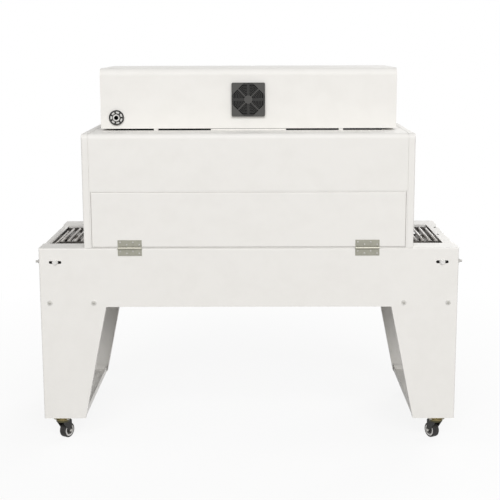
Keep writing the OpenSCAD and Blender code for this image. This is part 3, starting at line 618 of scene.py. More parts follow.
def lathe(bm, profile, place=IN_PLACE, segments=32, slot=0):
    """Turns a profile of (radius, height) round local Z, closed at both ends."""
    rings = [circle(bm, radius, height, segments, place) for radius, height in profile]
    bridge(bm, rings, slot, smooth=True)
    close_ends(bm, rings, slot)


def flat_ring(bm, inner, outer, low, high, place, segments=40, chamfer=0.3):
    """A flat ring with upper edges chamfered by a share of its height."""
    edge = (high - low) * chamfer
    profile = [(inner, low), (outer, low), (outer, high - edge), (outer - edge, high),
               (inner + edge, high), (inner, high - edge)]
    rings = [circle(bm, radius, height, segments, place) for radius, height in profile]
    bridge(bm, rings + rings[:1])


def prism(bm, outline, low, high, place=IN_PLACE, slot=0):
    """Extrudes a flat outline of local X and Y between two heights."""
    rings = [ring_at(bm, outline, height, place) for height in (low, high)]
    bridge(bm, rings, slot)
    close_ends(bm, rings, slot)


def block(bm, low, high, side=1):
    """Closed box between two corners, mirrored to -X when side is negative."""
    left, right = sorted((side * low[0], side * high[0]))
    outline = [(left, low[1]), (right, low[1]), (right, high[1]), (left, high[1])]
    prism(bm, outline, low[2], high[2])


def round_rectangle(width, height, radius, steps=5):
    """Outline of a rectangle with round corners."""
    points = []
    for i, (sx, sy) in enumerate(((1, 1), (-1, 1), (-1, -1), (1, -1))):
        angles = [math.pi / 2 * (i + k / steps) for k in range(steps + 1)]
        points += [(sx * (width / 2 - radius) + x, sy * (height / 2 - radius) + y)
                   for x, y in arc(radius, angles)]
    return points


# Geometry Nodes helpers

def node_tree(name, inputs):
    """A Geometry Nodes tree with a geometry input and named inputs."""
    return new_group(name, "GeometryNodeTree",
                     [("Geometry", "NodeSocketGeometry", None), *inputs],
                     [("Geometry", "NodeSocketGeometry")])


def bake(tree, source, values):
    """Runs a tree on a source mesh and returns the plain mesh that it makes."""
    carrier = bpy.data.objects.new("carrier", source)
    bpy.context.scene.collection.objects.link(carrier)
    modifier = carrier.modifiers.new("Nodes", "NODES")
    modifier.node_group = tree
    for item in tree.interface.items_tree:
        if item.item_type == "SOCKET" and item.in_out == "INPUT" and item.name in values:
            modifier[item.identifier] = values[item.name]
    graph = bpy.context.evaluated_depsgraph_get()
    made = bpy.data.meshes.new_from_object(carrier.evaluated_get(graph), depsgraph=graph)
    carrier.modifiers.remove(modifier)
    bpy.data.objects.remove(carrier)
    return made


def part_object(mesh):
    """An object that a tree copies."""
    made = bpy.data.objects.new(mesh.name, mesh)
    bpy.context.scene.collection.objects.link(made)
    return made


def clear_parts(*parts):
    """Removes the objects that a tree has copied."""
    for part in parts:
        bpy.data.objects.remove(part)


def part_geometry(tree, part):
    """The geometry of a part that is given to a tree."""
    return add_node(tree, "GeometryNodeObjectInfo", {"Object": part}).outputs["Geometry"]


def copies(tree, points, part, **inputs):
    """Copies of a part's geometry on points; the other inputs by their names in small letters."""
    named = {key.capitalize(): value for key, value in inputs.items()}
    return add_node(tree, "GeometryNodeInstanceOnPoints", {
        "Points": points, "Instance": part, **named}).outputs[0]


def join(tree, geometries):
    """Some geometries as one."""
    made = tree.nodes.new("GeometryNodeJoinGeometry")
    for geometry in geometries:
        tree.links.new(geometry, made.inputs[0])
    return made.outputs[0]


def finish_tree(tree, geometries, result):
    """Makes (geometry, material) pairs real, joins them and ends the tree."""
    coloured = []
    for geometry, material in geometries:
        real = add_node(tree, "GeometryNodeRealizeInstances", {"Geometry": geometry}).outputs[0]
        coloured.append(add_node(tree, "GeometryNodeSetMaterial", {
            "Geometry": real, "Material": material}).outputs[0])
    tree.links.new(join(tree, coloured), result["Geometry"])
    return tree


def spread_tree():
    """Copies a part on every point, turned to the point's own direction."""
    name = "Tunnel fasteners"
    if name in bpy.data.node_groups:
        return bpy.data.node_groups[name]
    tree, given, result = node_tree(name, [
        ("Part", "NodeSocketObject", None),
        ("Width", "NodeSocketFloat", 0.01),
        ("Height", "NodeSocketFloat", 0.003),
        ("Material", "NodeSocketMaterial", None),
    ])
    points = add_node(tree, "GeometryNodeMeshToPoints", {"Mesh": given["Geometry"]}).outputs[0]
    way = add_node(tree, "GeometryNodeInputNamedAttribute", {"Name": "facing"},
                   data_type="FLOAT_VECTOR").outputs[0]
    turned = add_node(tree, "FunctionNodeAlignRotationToVector", {"Vector": way},
                      axis="Z").outputs[0]
    size = add_node(tree, "ShaderNodeCombineXYZ", {
        "X": given["Width"], "Y": given["Width"], "Z": given["Height"]}).outputs[0]
    spread = copies(tree, points, part_geometry(tree, given["Part"]), rotation=turned, scale=size)
    return finish_tree(tree, [(spread, given["Material"])], result)


def points_mesh(places):
    """Points with a direction each, given as (place, direction)."""
    made = bpy.data.meshes.new("places")
    made.from_pydata([p for p, _ in places], [], [])
    way = made.attributes.new("facing", "FLOAT_VECTOR", "POINT")
    for item, (_, direction) in zip(way.data, places):
        item.vector = direction
    return made


def fasten(name, places, part_mesh, width, height, material, slot="plain_steel", body="frame"):
    """Copies one fastener to all its places on one body."""
    part = part_object(part_mesh)
    made = bake(spread_tree(), points_mesh(places), {
        "Part": part, "Width": width, "Height": height, "Material": material})
    clear_parts(part)
    made.name = name
    keep_piece(name, made, body)


def pan_head():
    """Round screw head of unit width and height with a cross recess."""
    bm = bmesh.new()
    profile = [(0.47, 0.0), (0.50, 0.12), (0.49, 0.40), (0.45, 0.72), (0.36, 0.95)]
    rings = [circle(bm, radius, height, 20) for radius, height in profile]
    bridge(bm, rings, smooth=True)
    bm.faces.new(rings[0][::-1])
    half, reach, floor = 0.065, 0.24, 0.35
    arm = [(reach, -half), (reach, half), (half, half)]
    cross = []
    for _ in range(4):
        cross += arm
        arm = [(-y, x) for x, y in arm]
    edge, base = ring_at(bm, cross, 1.0), ring_at(bm, cross, floor)
    loops = []
    for ring in (rings[-1], edge):
        for pair in zip(ring, ring[1:] + ring[:1]):
            loops.append(bm.edges.get(pair) or bm.edges.new(pair))
    bmesh.ops.triangle_fill(bm, edges=loops, use_beauty=True)
    bridge(bm, [edge, base])
    bm.faces.new(base)
    return mesh_from(bm, "pan_head")


def washer():
    """Flat washer of unit width and height with a rounded edge."""
    bm = bmesh.new()
    lathe(bm, [(0.47, 0.0), (0.50, 0.3), (0.50, 0.7), (0.46, 1.0)], segments=28)
    return mesh_from(bm, "washer")


def thread_turn():
    """One turn of a thread, of unit width and height."""
    bm = bmesh.new()
    lathe(bm, [(0.47, -0.5), (0.50, -0.08), (0.50, 0.08), (0.47, 0.5)], segments=20)
    return mesh_from(bm, "thread")


def hex_head():
    """Six-sided bolt head of unit width and height with a chamfered top."""
    bm = bmesh.new()
    rings = [circle(bm, radius, height, 6) for radius, height in ((0.5, 0), (0.5, 0.82), (0.42, 1))]
    bridge(bm, rings)
    close_ends(bm, rings)
    return mesh_from(bm, "hex_head")


# Conveyor

def loop_points(count, radius, start):
    """Evenly spaced points on the chain's pitch line, from a distance past the left shaft."""
    run, turn = 2 * SHAFT_X, math.pi * radius
    whole = 2 * (run + turn)
    points = []
    for i in range(count):
        way = (start + i * whole / count) % whole
        side = 1 if way < run + turn else -1
        way -= 0.0 if side > 0 else run + turn
        x, z = way - SHAFT_X, radius
        if way >= run:
            angle = math.pi / 2 - (way - run) / radius
            x, z = SHAFT_X + radius * math.cos(angle), radius * math.sin(angle)
        points.append((side * x, SHAFT_Z + side * z))
    return points


def link_plates(name, pitch, height, thickness, offset):
    """A pair of waisted link plates, one on each side of the rollers, along local X."""
    bm = bmesh.new()
    outline, r, waist, steps = [], height / 2, 0.72, 6
    for side in (1, -1):
        angles = [math.pi * (k / steps - side / 2) for k in range(steps + 1)]
        outline += [(side * pitch / 2 + x, y) for x, y in arc(r, angles)]
        outline.append((0.0, side * r * waist))
    for s in SIDES:
        prism(bm, outline, s * offset - thickness / 2, s * offset + thickness / 2, LYING)
    return mesh_from(bm, name)


def conveyor_tree():
    """Two roller chains round the loop, with a rod on every second pin."""
    pin_share = 0.45
    tree, given, result = node_tree("Tunnel conveyor", [
        ("Inner plates", "NodeSocketObject", None),
        ("Outer plates", "NodeSocketObject", None),
        ("Strand offset", "NodeSocketFloat", 0.233),
        ("Strand width", "NodeSocketFloat", 0.010),
        ("Roller radius", "NodeSocketFloat", 0.00425),
        ("Stem radius", "NodeSocketFloat", 0.0025),
        ("Rod radius", "NodeSocketFloat", 0.005),
        ("Rod length", "NodeSocketFloat", 0.456),
        ("Chain material", "NodeSocketMaterial", None),
        ("Rod material", "NodeSocketMaterial", None),
    ])
    loop = given["Geometry"]
    index = add_node(tree, "GeometryNodeInputIndex").outputs[0]
    even = add_node(tree, "FunctionNodeCompare", {2: math_node(tree, "MODULO", index, 2.0), 3: 0},
                    data_type="INT", operation="EQUAL").outputs[0]
    odd = add_node(tree, "FunctionNodeBooleanMath", {0: even}, operation="NOT").outputs[0]
    lie = add_node(tree, "FunctionNodeEulerToRotation", {0: (math.pi / 2, 0.0, 0.0)}).outputs[0]

    def barrel(radius, depth, sides):
        made = add_node(tree, "GeometryNodeMeshCylinder", {
            "Vertices": sides, "Radius": radius, "Depth": depth}, fill_type="NGON")
        smooth = add_node(tree, "GeometryNodeSetShadeSmooth", {
            "Geometry": made.outputs[0], "Selection": made.outputs["Side"]})
        return add_node(tree, "GeometryNodeTransform", {
            "Geometry": smooth.outputs[0], "Rotation": lie}).outputs[0]

    pins = add_node(tree, "GeometryNodeMeshToPoints", {"Mesh": loop}).outputs[0]
    ends = tree.nodes.new("GeometryNodeInputMeshEdgeVertices").outputs
    way = vector_node(tree, "SUBTRACT", ends["Position 2"], ends["Position 1"])
    kept = tree.nodes.new("GeometryNodeCaptureAttribute")
    kept.domain = "EDGE"
    kept.capture_items.new("VECTOR", "Way")
    tree.links.new(loop, kept.inputs[0])
    tree.links.new(way, kept.inputs[1])
    links = add_node(tree, "GeometryNodeMeshToPoints", {"Mesh": kept.outputs[0]},
                     mode="EDGES").outputs[0]
    along = add_node(tree, "FunctionNodeAlignRotationToVector", {"Vector": kept.outputs[1]},
                     axis="X", pivot_axis="Y").outputs[0]
    half_width = math_node(tree, "MULTIPLY", given["Strand width"], 0.5)
    pin_radius = math_node(tree, "MULTIPLY", given["Roller radius"], pin_share)
    strand = join(tree, [
        copies(tree, pins, barrel(given["Roller radius"], half_width, 12)),
        copies(tree, pins, barrel(pin_radius, given["Strand width"], 8)),
        copies(tree, links, part_geometry(tree, given["Inner plates"]), selection=even,
               rotation=along),
        copies(tree, links, part_geometry(tree, given["Outer plates"]), selection=odd,
               rotation=along)])
    strands = []
    for side in (1.0, -1.0):
        offset = math_node(tree, "MULTIPLY", given["Strand offset"], side)
        shift = add_node(tree, "ShaderNodeCombineXYZ", {"Y": offset}).outputs[0]
        strands.append(add_node(tree, "GeometryNodeTransform", {
            "Geometry": strand, "Translation": shift}).outputs[0])
    half_stem = math_node(tree, "ADD", given["Strand offset"], half_width)
    stem_length = math_node(tree, "MULTIPLY", half_stem, 2.0)
    rods = copies(tree, pins, barrel(given["Rod radius"], given["Rod length"], 20), selection=even)
    stems = copies(tree, pins, barrel(given["Stem radius"], stem_length, 8), selection=even)
    return finish_tree(tree, [
        (join(tree, strands), given["Chain material"]), (stems, given["Chain material"]),
        (rods, given["Rod material"])], result)


def wheel_outline(teeth, pitch_r, tooth, phase):
    """Outline of a chain wheel with rounded gaps between its teeth."""
    floor, flank = 4.0 * MM, 2.8 * MM
    rise = [(-0.42, -floor), (-0.25, -flank), (-0.13, 0.0), (-0.05, tooth)]
    profile = rise + [(-shift, height) for shift, height in reversed(rise)]
    return [point for i in range(teeth) for shift, height in profile
            for point in arc(pitch_r + height, [phase + 2 * math.pi * (i + shift) / teeth])]


# Operators

class Piece(bpy.types.Operator):
    """Base of the operators that make a piece."""
    bl_options = {"REGISTER", "UNDO"}

    def execute(self, context):
        self.make(context.scene)
        return {"FINISHED"}


class TUNNEL_OT_sheet_metal(Piece):
    """Powder-coats the base, the hood and the control box"""
    bl_idname = "tunnel.sheet_metal"
    bl_label = "Paint the sheet metal"

    LIP_BEND, LIP_SHEET, LIP_INSET, LIP_STEPS = 9.0 * MM, 1.5 * MM, 0.5 * MM, 8
    LIP_CURL = math.radians(75.0)

    def make(self, scene):
        dress(paint(), "rear_side_panel", "front_side_panel", "left_end_plate", "right_end_plate",
              "left_foot_plate", "right_foot_plate", "left_end_wall", "right_end_wall",
              "top_cover", "rear_flap", "front_panel", "raised_plate", "spacer_rails",
              "control_box_base", "control_box_cover")
        # The pan is dressed dark as painted shade
        dress(finish("pan_steel"), "bottom_pan")
        dress(finish("lining_steel"), "tunnel_lining")
        self.flange_lip()

    def flange_lip(self):
        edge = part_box("left_end_plate")[1]
        side = PANEL_HI.y + self.LIP_INSET
        angles = [self.LIP_CURL * i / self.LIP_STEPS for i in range(self.LIP_STEPS + 1)]
        curls = arc(self.LIP_BEND, angles) + arc(self.LIP_BEND - self.LIP_SHEET, angles[::-1])
        outline = [(edge.x + across, edge.z - self.LIP_BEND + up) for up, across in curls]
        bm = bmesh.new()
        prism(bm, outline, side, -side, LYING)
        frame_piece(bm, "left_flange_lip", "paint", paint())


class TUNNEL_OT_seals(Piece):
    """Adds the strips behind the flap's seams and dark foam strips that paint the shade in the gap
    under the control box
    """
    bl_idname = "tunnel.seals"
    bl_label = "Add the seals"

    GAP, STRIP, SEAM = 0.3 * MM, 4.0 * MM, 5.0 * MM
    # Sizes of the dark strips that paint the shade under the control box
    FOAM, FOAM_SET, FOAM_GAP, FOAM_END = 8.0 * MM, 5.0 * MM, 1.0 * MM, 52.0 * MM
    RAIL, PLATE_SET = 16.0 * MM, 0.5 * MM

    def make(self, scene):
        self.flap_seals()
        self.box_seal()

    def flap_seals(self):
        low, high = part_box("rear_flap")
        gap = self.GAP
        bottom, top = PANEL_HI.z + gap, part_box("top_cover")[0].z - gap
        rear = low.y + gap
        front = rear + self.STRIP
        bm = bmesh.new()
        for side in SIDES:
            block(bm, (high.x + gap, rear, bottom), (high.x + self.SEAM - gap, front, top),
                  side)
        for z0, z1 in ((bottom, low.z - gap), (high.z + gap, top)):
            block(bm, (low.x, rear, z0), (high.x, front, z1))
        frame_piece(bm, "flap_seals", "paint", paint())

    # Dark strips in the gap under the control box, put there as painted shade
    def box_seal(self):
        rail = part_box("spacer_rails")[1].x
        plate_lo, plate_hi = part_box("raised_plate")
        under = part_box("control_box_base")[0]
        rear = under.y + self.FOAM_SET
        bm = bmesh.new()
        for side in SIDES:
            for x0, x1 in ((plate_hi.x + self.FOAM_GAP, rail - self.RAIL - self.FOAM_GAP),
                           (rail + self.FOAM_GAP, BOX_HI.x - self.FOAM_END)):
                block(bm, (x0, rear, WALL_HI.z), (x1, rear + self.FOAM, under.z), side)
        rear = plate_lo.y + self.PLATE_SET
        block(bm, (-plate_hi.x, rear, plate_hi.z), (plate_hi.x, rear + self.FOAM, under.z))
        frame_piece(bm, "box_seal", "filter_foam", finish("filter_foam"))


class TUNNEL_OT_conveyor(Piece):
    """Makes the roller chains, the rods and the chain wheels"""
    bl_idname = "tunnel.conveyor"
    bl_label = "Make the conveyor"

    # Distances of the link plates from the rollers, in thicknesses, and the outer ones' height
    INNER_OUT, OUTER_OUT, OUTER_SHARE = 0.7, 1.9, 0.92
    DISC = 4.4 * MM
    HUB_RADIUS, HUB_LENGTH, HUB_EDGE = 19.5 * MM, 22.0 * MM, 0.5 * MM

    def make(self, scene):
        size = scene.tunnel_conveyor
        width, thick = size.strand_width, size.plate_thickness
        radius = (CHAIN_HI.z - CHAIN_LO.z - size.strand_height) / 2
        strand_y = CHAIN_HI.y - width / 2
        points = loop_points(size.links, radius, size.first_rod)
        pitch = (Vector(points[1]) - Vector(points[0])).length
        loop = bpy.data.meshes.new("pitch_line")
        loop.from_pydata([(x, 0.0, z) for x, z in points],
                         [(i, (i + 1) % size.links) for i in range(size.links)], [])
        roller_end, tall = width / 4, size.plate_height
        inner = part_object(link_plates("inner_plates", pitch, tall, thick,
                                        roller_end + thick * self.INNER_OUT))
        outer = part_object(link_plates("outer_plates", pitch, tall * self.OUTER_SHARE, thick,
                                        roller_end + thick * self.OUTER_OUT))
        made = bake(conveyor_tree(), loop, {
            "Inner plates": inner, "Outer plates": outer, "Strand offset": strand_y,
            "Strand width": width, "Roller radius": size.roller_diameter / 2,
            "Stem radius": size.stem_diameter / 2, "Rod radius": size.rod_diameter / 2,
            "Rod length": 2 * strand_y - width,
            "Chain material": finish("chain_steel"), "Rod material": finish("rod_steel")})
        clear_parts(inner, outer)
        made.name = "conveyor_loop"
        keep_piece("conveyor_loop", made, replaced=["conveyor_chain"])
        self.chain_wheels(size, points, radius, strand_y)
        dress(finish("plain_steel"), "rear_chain_rail", "front_chain_rail")
        dress(finish("bright_zinc"), "left_shaft", "right_shaft")

    def chain_wheels(self, size, points, radius, strand_y):
        half, edge, round_edge = self.HUB_LENGTH / 2, self.HUB_EDGE, self.HUB_RADIUS
        hub = [(round_edge - edge, -half), (round_edge, edge - half),
               (round_edge, half - edge), (round_edge - edge, half)]
        bm = bmesh.new()
        for sx in SIDES:
            x, z = max(points, key=lambda p: sx * p[0])
            pin = math.atan2(z - SHAFT_Z, x - sx * SHAFT_X)
            outline = wheel_outline(size.teeth, radius, size.tooth_height,
                                    pin + math.pi / size.teeth)
            for sy in SIDES:
                place = Matrix.Translation((sx * SHAFT_X, sy * strand_y, SHAFT_Z)) @ LYING
                prism(bm, outline, -self.DISC / 2, self.DISC / 2, place)
                lathe(bm, hub, place)
        frame_piece(bm, "chain_wheels", "plain_steel", finish("chain_steel"))


class TUNNEL_OT_tension_screws(Piece):
    """Threads the tension screws at both ends of the base"""
    bl_idname = "tunnel.tension_screws"
    bl_label = "Thread the tension screws"

    NUT, TIP = 6.5 * MM, 0.4 * MM

    def make(self, scene):
        size = scene.tunnel_fasteners
        pitch = size.thread_pitch
        low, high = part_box("tension_screws")
        y = high.y - (high.z - low.z) * math.sqrt(3) / 4
        turns = int((high.x - PANEL_HI.x - self.NUT) / pitch)
        places = [(Vector((sx * (high.x - self.TIP - (i + 0.5) * pitch), sy * y, SHAFT_Z)),
                   Vector((sx, 0, 0))) for sx in SIDES for sy in SIDES for i in range(turns)]
        fasten("screw_threads", places, thread_turn(), size.thread, pitch, finish("plain_steel"))
        dress(finish("plain_steel"), "tension_screws")


class TUNNEL_OT_hinges(Piece):
    """Finishes both hinges and sets their screws in two staggered rows"""
    bl_idname = "tunnel.hinges"
    bl_label = "Finish the hinges"

    HALF, LEAF = 44.0 * MM, 2.0 * MM
    COLUMNS = (-35.0 * MM, -11.0 * MM, 12.0 * MM, 35.0 * MM)
    ROWS = (("hinge_screws_flap", "flap", (21.0 * MM, 12.0 * MM)),
            ("hinge_screws_base", "frame", (-12.0 * MM, -20.0 * MM)))

    def make(self, scene):
        dress(hinge_steel(), "hinge_base_leaves", "hinge_flap_leaves")
        dress(finish("screw_steel"), "hinge_pins")
        size = scene.tunnel_fasteners
        level = JOINTS["flap_hinge"]["pos_m"][2]
        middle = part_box("hinge_pins")[1].x - self.HALF
        for name, body, rows in self.ROWS:
            places = [(Vector((side * middle + x, PANEL_LO.y - self.LEAF, level + rows[i % 2])),
                       REAR) for side in SIDES for i, x in enumerate(self.COLUMNS)]
            fasten(name, places, pan_head(), size.hinge_head, size.hinge_head * size.hinge_share,
                   finish("screw_steel"), "hinge_steel", body)


class TUNNEL_OT_screws(Piece):
    """Sets the screws on legs, end walls, panels and the control box"""
    bl_idname = "tunnel.screws"
    bl_label = "Set the screws"

    LEG_X, LEG_Z = (0.572, 0.735), 0.535
    WALL_YZ = ((-0.262, 0.80), (0.262, 0.80), (-0.262, 0.97), (0.262, 0.97),
               (-0.262, 1.11), (0.262, 1.11), (0.0, 1.11))
    BOX_INSET = 0.03
    PANEL_X, PANEL_INSET = (0.02, 0.30), 0.02
    FLANGE_XY = ((0.738, -0.034), (0.752, 0.138))

    def make(self, scene):
        size = scene.tunnel_fasteners
        steel = finish("screw_steel")
        legs = [(Vector((sx * x, -sy * PANEL_LO.y, self.LEG_Z)), sy * FRONT)
                for sx in SIDES for x in self.LEG_X for sy in SIDES]
        fasten("leg_washers", legs, washer(), size.washer, size.washer_height,
               finish("bolt_steel"))
        heads = [(place + way * size.washer_height, way) for place, way in legs]
        fasten("leg_screws", heads, pan_head(), size.leg_head, size.leg_head * size.head_share,
               steel)
        height = size.panel_head * size.head_share
        fasten("panel_screws", self.panel_places(), pan_head(), size.panel_head, height, steel)
        flange = [(Vector((x, y, PANEL_HI.z)), UP) for x, y in self.FLANGE_XY]
        fasten("flange_screws", flange, pan_head(), size.panel_head, height,
               finish("black_plastic"), "black_plastic")

    def panel_places(self):
        low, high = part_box("front_panel")
        inset = self.BOX_INSET
        places = []
        for side in SIDES:
            out = Vector((side, 0, 0))
            places += [(Vector((side * WALL_HI.x, y, z)), out) for y, z in self.WALL_YZ]
            places += [(Vector((side * BOX_HI.x, y, z)), out)
                       for y in (BOX_LO.y + inset, BOX_HI.y - inset)
                       for z in (BOX_LO.z + inset, BOX_HI.z - inset)]
            places += [(Vector((side * (high.x - x), high.y, z)), FRONT)
                       for z in (low.z + self.PANEL_INSET, high.z - self.PANEL_INSET)
                       for x in self.PANEL_X]
        return places


class TUNNEL_OT_fan_guard(Piece):
    """Finishes the fan's guard and its foam filter"""
    bl_idname = "tunnel.fan_guard"
    bl_label = "Finish the fan guard"

    def make(self, scene):
        dress(guard_plastic(), "fan_guard")
        dress(finish("filter_foam"), "fan_filter")


class TUNNEL_OT_cable_gland(Piece):
    """Finishes the cable gland and sets the inlays between its ribs"""
    bl_idname = "tunnel.cable_gland"
    bl_label = "Finish the cable gland"

    RIBS, RIB_MARGIN, STEPS = 7, 0.17, 8
    INNER, OUTER, LOW, HIGH = 16.2 * MM, 22.6 * MM, 2.5 * MM, 4.6 * MM
    RING = (8.2 * MM, 12.6 * MM, 11.5 * MM, 12.6 * MM)

    def make(self, scene):
        dress(finish("black_plastic"), "cable_gland")
        middle = middle_of(*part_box("cable_gland"))
        middle.y = BOX_LO.y
        place = Matrix.Translation(middle) @ LYING
        bm = bmesh.new()
        sweep = 2 * math.pi / self.RIBS
        for i in range(self.RIBS):
            angles = [i * sweep + self.RIB_MARGIN + (sweep - 2 * self.RIB_MARGIN) * k / self.STEPS
                      for k in range(self.STEPS + 1)]
            outline = arc(self.OUTER, angles) + arc(self.INNER, angles[::-1])
            prism(bm, outline, self.LOW, self.HIGH, place)
        flat_ring(bm, *self.RING, place)
        frame_piece(bm, "gland_inlays", "hub_plastic", finish("grey_plastic"))


class TUNNEL_OT_controls(Piece):
    """Makes the temperature controller, the speed knob and the push buttons"""
    bl_idname = "tunnel.controls"
    bl_label = "Make the controls"

    # Level and height of the controller's windows
    WINDOWS = ((15.0 * MM, 14.0 * MM), (-1.0 * MM, 11.0 * MM))
    WINDOW_WIDTH = 46.0 * MM
    KEYS, KEY_STEP, KEY_DROP = 4, 12.0 * MM, 19.0 * MM
    GRIPS = 24
    GRIP = [(-0.8 * MM, -0.9 * MM), (0.7 * MM, -0.5 * MM), (0.7 * MM, 0.5 * MM),
            (-0.8 * MM, 0.9 * MM)]
    CAPS = ("start_cap", "stop_cap", "fan_cap")

    def make(self, scene):
        self.controller()
        self.knob()
        self.buttons()

    def place(self, node):
        low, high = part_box(node)
        middle = middle_of(low, high)
        middle.y = low.y
        return facing(middle, FRONT), high.x - low.x, high.y - low.y

    def controller(self):
        place, width, depth = self.place("temperature_controller")
        edge, frame_width, face = 1.2 * MM, 7 * MM, depth - 2 * MM
        outline = round_rectangle(width, width, 4 * MM)
        shoulder = round_rectangle(width - 2 * edge, width - 2 * edge, 3.2 * MM)
        window = round_rectangle(width - 2 * frame_width, width - 2 * frame_width, 2 * MM)
        bm = bmesh.new()
        rings = [ring_at(bm, ring, height, place) for ring, height in (
            (outline, 0.0), (outline, depth - edge), (shoulder, depth), (window, depth),
            (window, face))]
        bridge(bm, rings)
        close_ends(bm, rings)
        sunk = face - 0.5 * MM
        for y, tall in self.WINDOWS:
            prism(bm, round_rectangle(self.WINDOW_WIDTH, tall, 1.5 * MM), sunk, face + 0.7 * MM,
                  place @ Matrix.Translation((0, y, 0)), 1)
        key = [(0, sunk), (4 * MM, sunk), (4 * MM, face + 1.0 * MM), (3.4 * MM, face + 1.5 * MM),
               (0, face + 1.6 * MM)]
        for i in range(self.KEYS):
            x = (i - (self.KEYS - 1) / 2) * self.KEY_STEP
            lathe(bm, key, place @ Matrix.Translation((x, -self.KEY_DROP, 0)), 20, slot=2)
        frame_piece(bm, "controller_face", "black_plastic", finish("black_plastic"),
                    finish("display_window"), finish("grey_plastic"),
                    replaced=["temperature_controller"])

    def knob(self):
        place, width, depth = self.place("speed_knob")
        r = width / 2
        bm = bmesh.new()
        lathe(bm, [(0, 0), (r, 0), (r, 2.5 * MM), (r - 1.0 * MM, 5 * MM),
                   (r - 4.2 * MM, 5.6 * MM), (r - 4.6 * MM, depth - 1.2 * MM),
                   (r - 5.8 * MM, depth - 0.1 * MM), (0, depth)], place, 48)
        out = Matrix.Translation((r - 4.7 * MM, 0, 0))
        for i in range(self.GRIPS):
            turn = Matrix.Rotation(2 * math.pi * i / self.GRIPS, 4, "Z")
            prism(bm, self.GRIP, 5.0 * MM, depth - 1.4 * MM, place @ turn @ out)
        prism(bm, round_rectangle(1.8 * MM, 11 * MM, 0.6 * MM), depth - 0.6 * MM, depth,
              place @ Matrix.Translation((0, 6.5 * MM, 0)), 1)
        frame_piece(bm, "speed_dial", "black_plastic", finish("black_plastic"),
                    finish("grey_plastic"), replaced=["speed_knob"])

    def buttons(self):
        low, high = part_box("push_buttons")
        depth, r = high.y - low.y, (high.z - low.z) / 2
        cap = r - 4.2 * MM
        collar = [(0, 0), (r, 0), (r, 2.2 * MM), (r - 1.6 * MM, 4.0 * MM),
                  (r - 3.2 * MM, 4.0 * MM), (r - 3.6 * MM, 2.6 * MM), (0, 2.6 * MM)]
        button = [(0, 2.0 * MM), (cap, 2.0 * MM), (cap, depth - 1.6 * MM),
                  (cap - 1.2 * MM, depth - 0.4 * MM), (cap * 0.6, depth - 0.1 * MM), (0, depth)]
        step = (high.x - low.x - 2 * r) / (len(self.CAPS) - 1)
        bm = bmesh.new()
        for i in range(len(self.CAPS)):
            middle = Vector((high.x - r - i * step, low.y, (low.z + high.z) / 2))
            place = facing(middle, FRONT)
            lathe(bm, collar, place, 40)
            lathe(bm, button, place, 40, slot=1 + i)
        frame_piece(bm, "front_buttons", "button_plastic", finish("screw_steel"),
                    *(finish(name) for name in self.CAPS), replaced=["push_buttons"])


class TUNNEL_OT_casters(Piece):
    """Finishes the casters and sets their bolts and axle nuts"""
    bl_idname = "tunnel.casters"
    bl_label = "Finish the casters"

    PLATE, BOLT_OUT, NUT_OUT = 3.0 * MM, 23.0 * MM, 17.5 * MM
    RING = (24.0 * MM, 28.0 * MM, -9.5 * MM, -6.0 * MM)

    def make(self, scene):
        size = scene.tunnel_fasteners
        nut = (size.nut_width, size.nut_height)
        dress(finish("yellow_zinc"), "caster_plates")
        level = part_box("caster_plates")[1].z - self.PLATE
        bolts, rings = [], bmesh.new()
        for corner in CORNERS:
            dress(fork_black(corner), corner + "_fork")
            dress(finish("tread_rubber"), corner + "_tread")
            dress(hub_plastic(corner), corner + "_hub")
            x, y, _ = JOINTS[corner + "_swivel"]["pos_m"]
            bolts += [(Vector((x + sx * self.BOLT_OUT, y + sy * self.BOLT_OUT, level)), -UP)
                      for sx in SIDES for sy in SIDES]
            flat_ring(rings, *self.RING, Matrix.Translation((x, y, level)))
            axle = Vector(JOINTS[corner + "_roll"]["pos_m"])
            way = Vector(JOINTS[corner + "_roll"]["axis"]).normalized()
            nuts = [(axle + side * way * self.NUT_OUT, side * way) for side in SIDES]
            fasten(corner + "_axle_nuts", nuts, hex_head(), *nut, finish("screw_steel"),
                   body=corner + "_caster")
        frame_piece(rings, "race_rings", "yellow_zinc", finish("yellow_zinc"))
        fasten("caster_bolts", bolts, hex_head(), *nut, finish("plain_steel"))


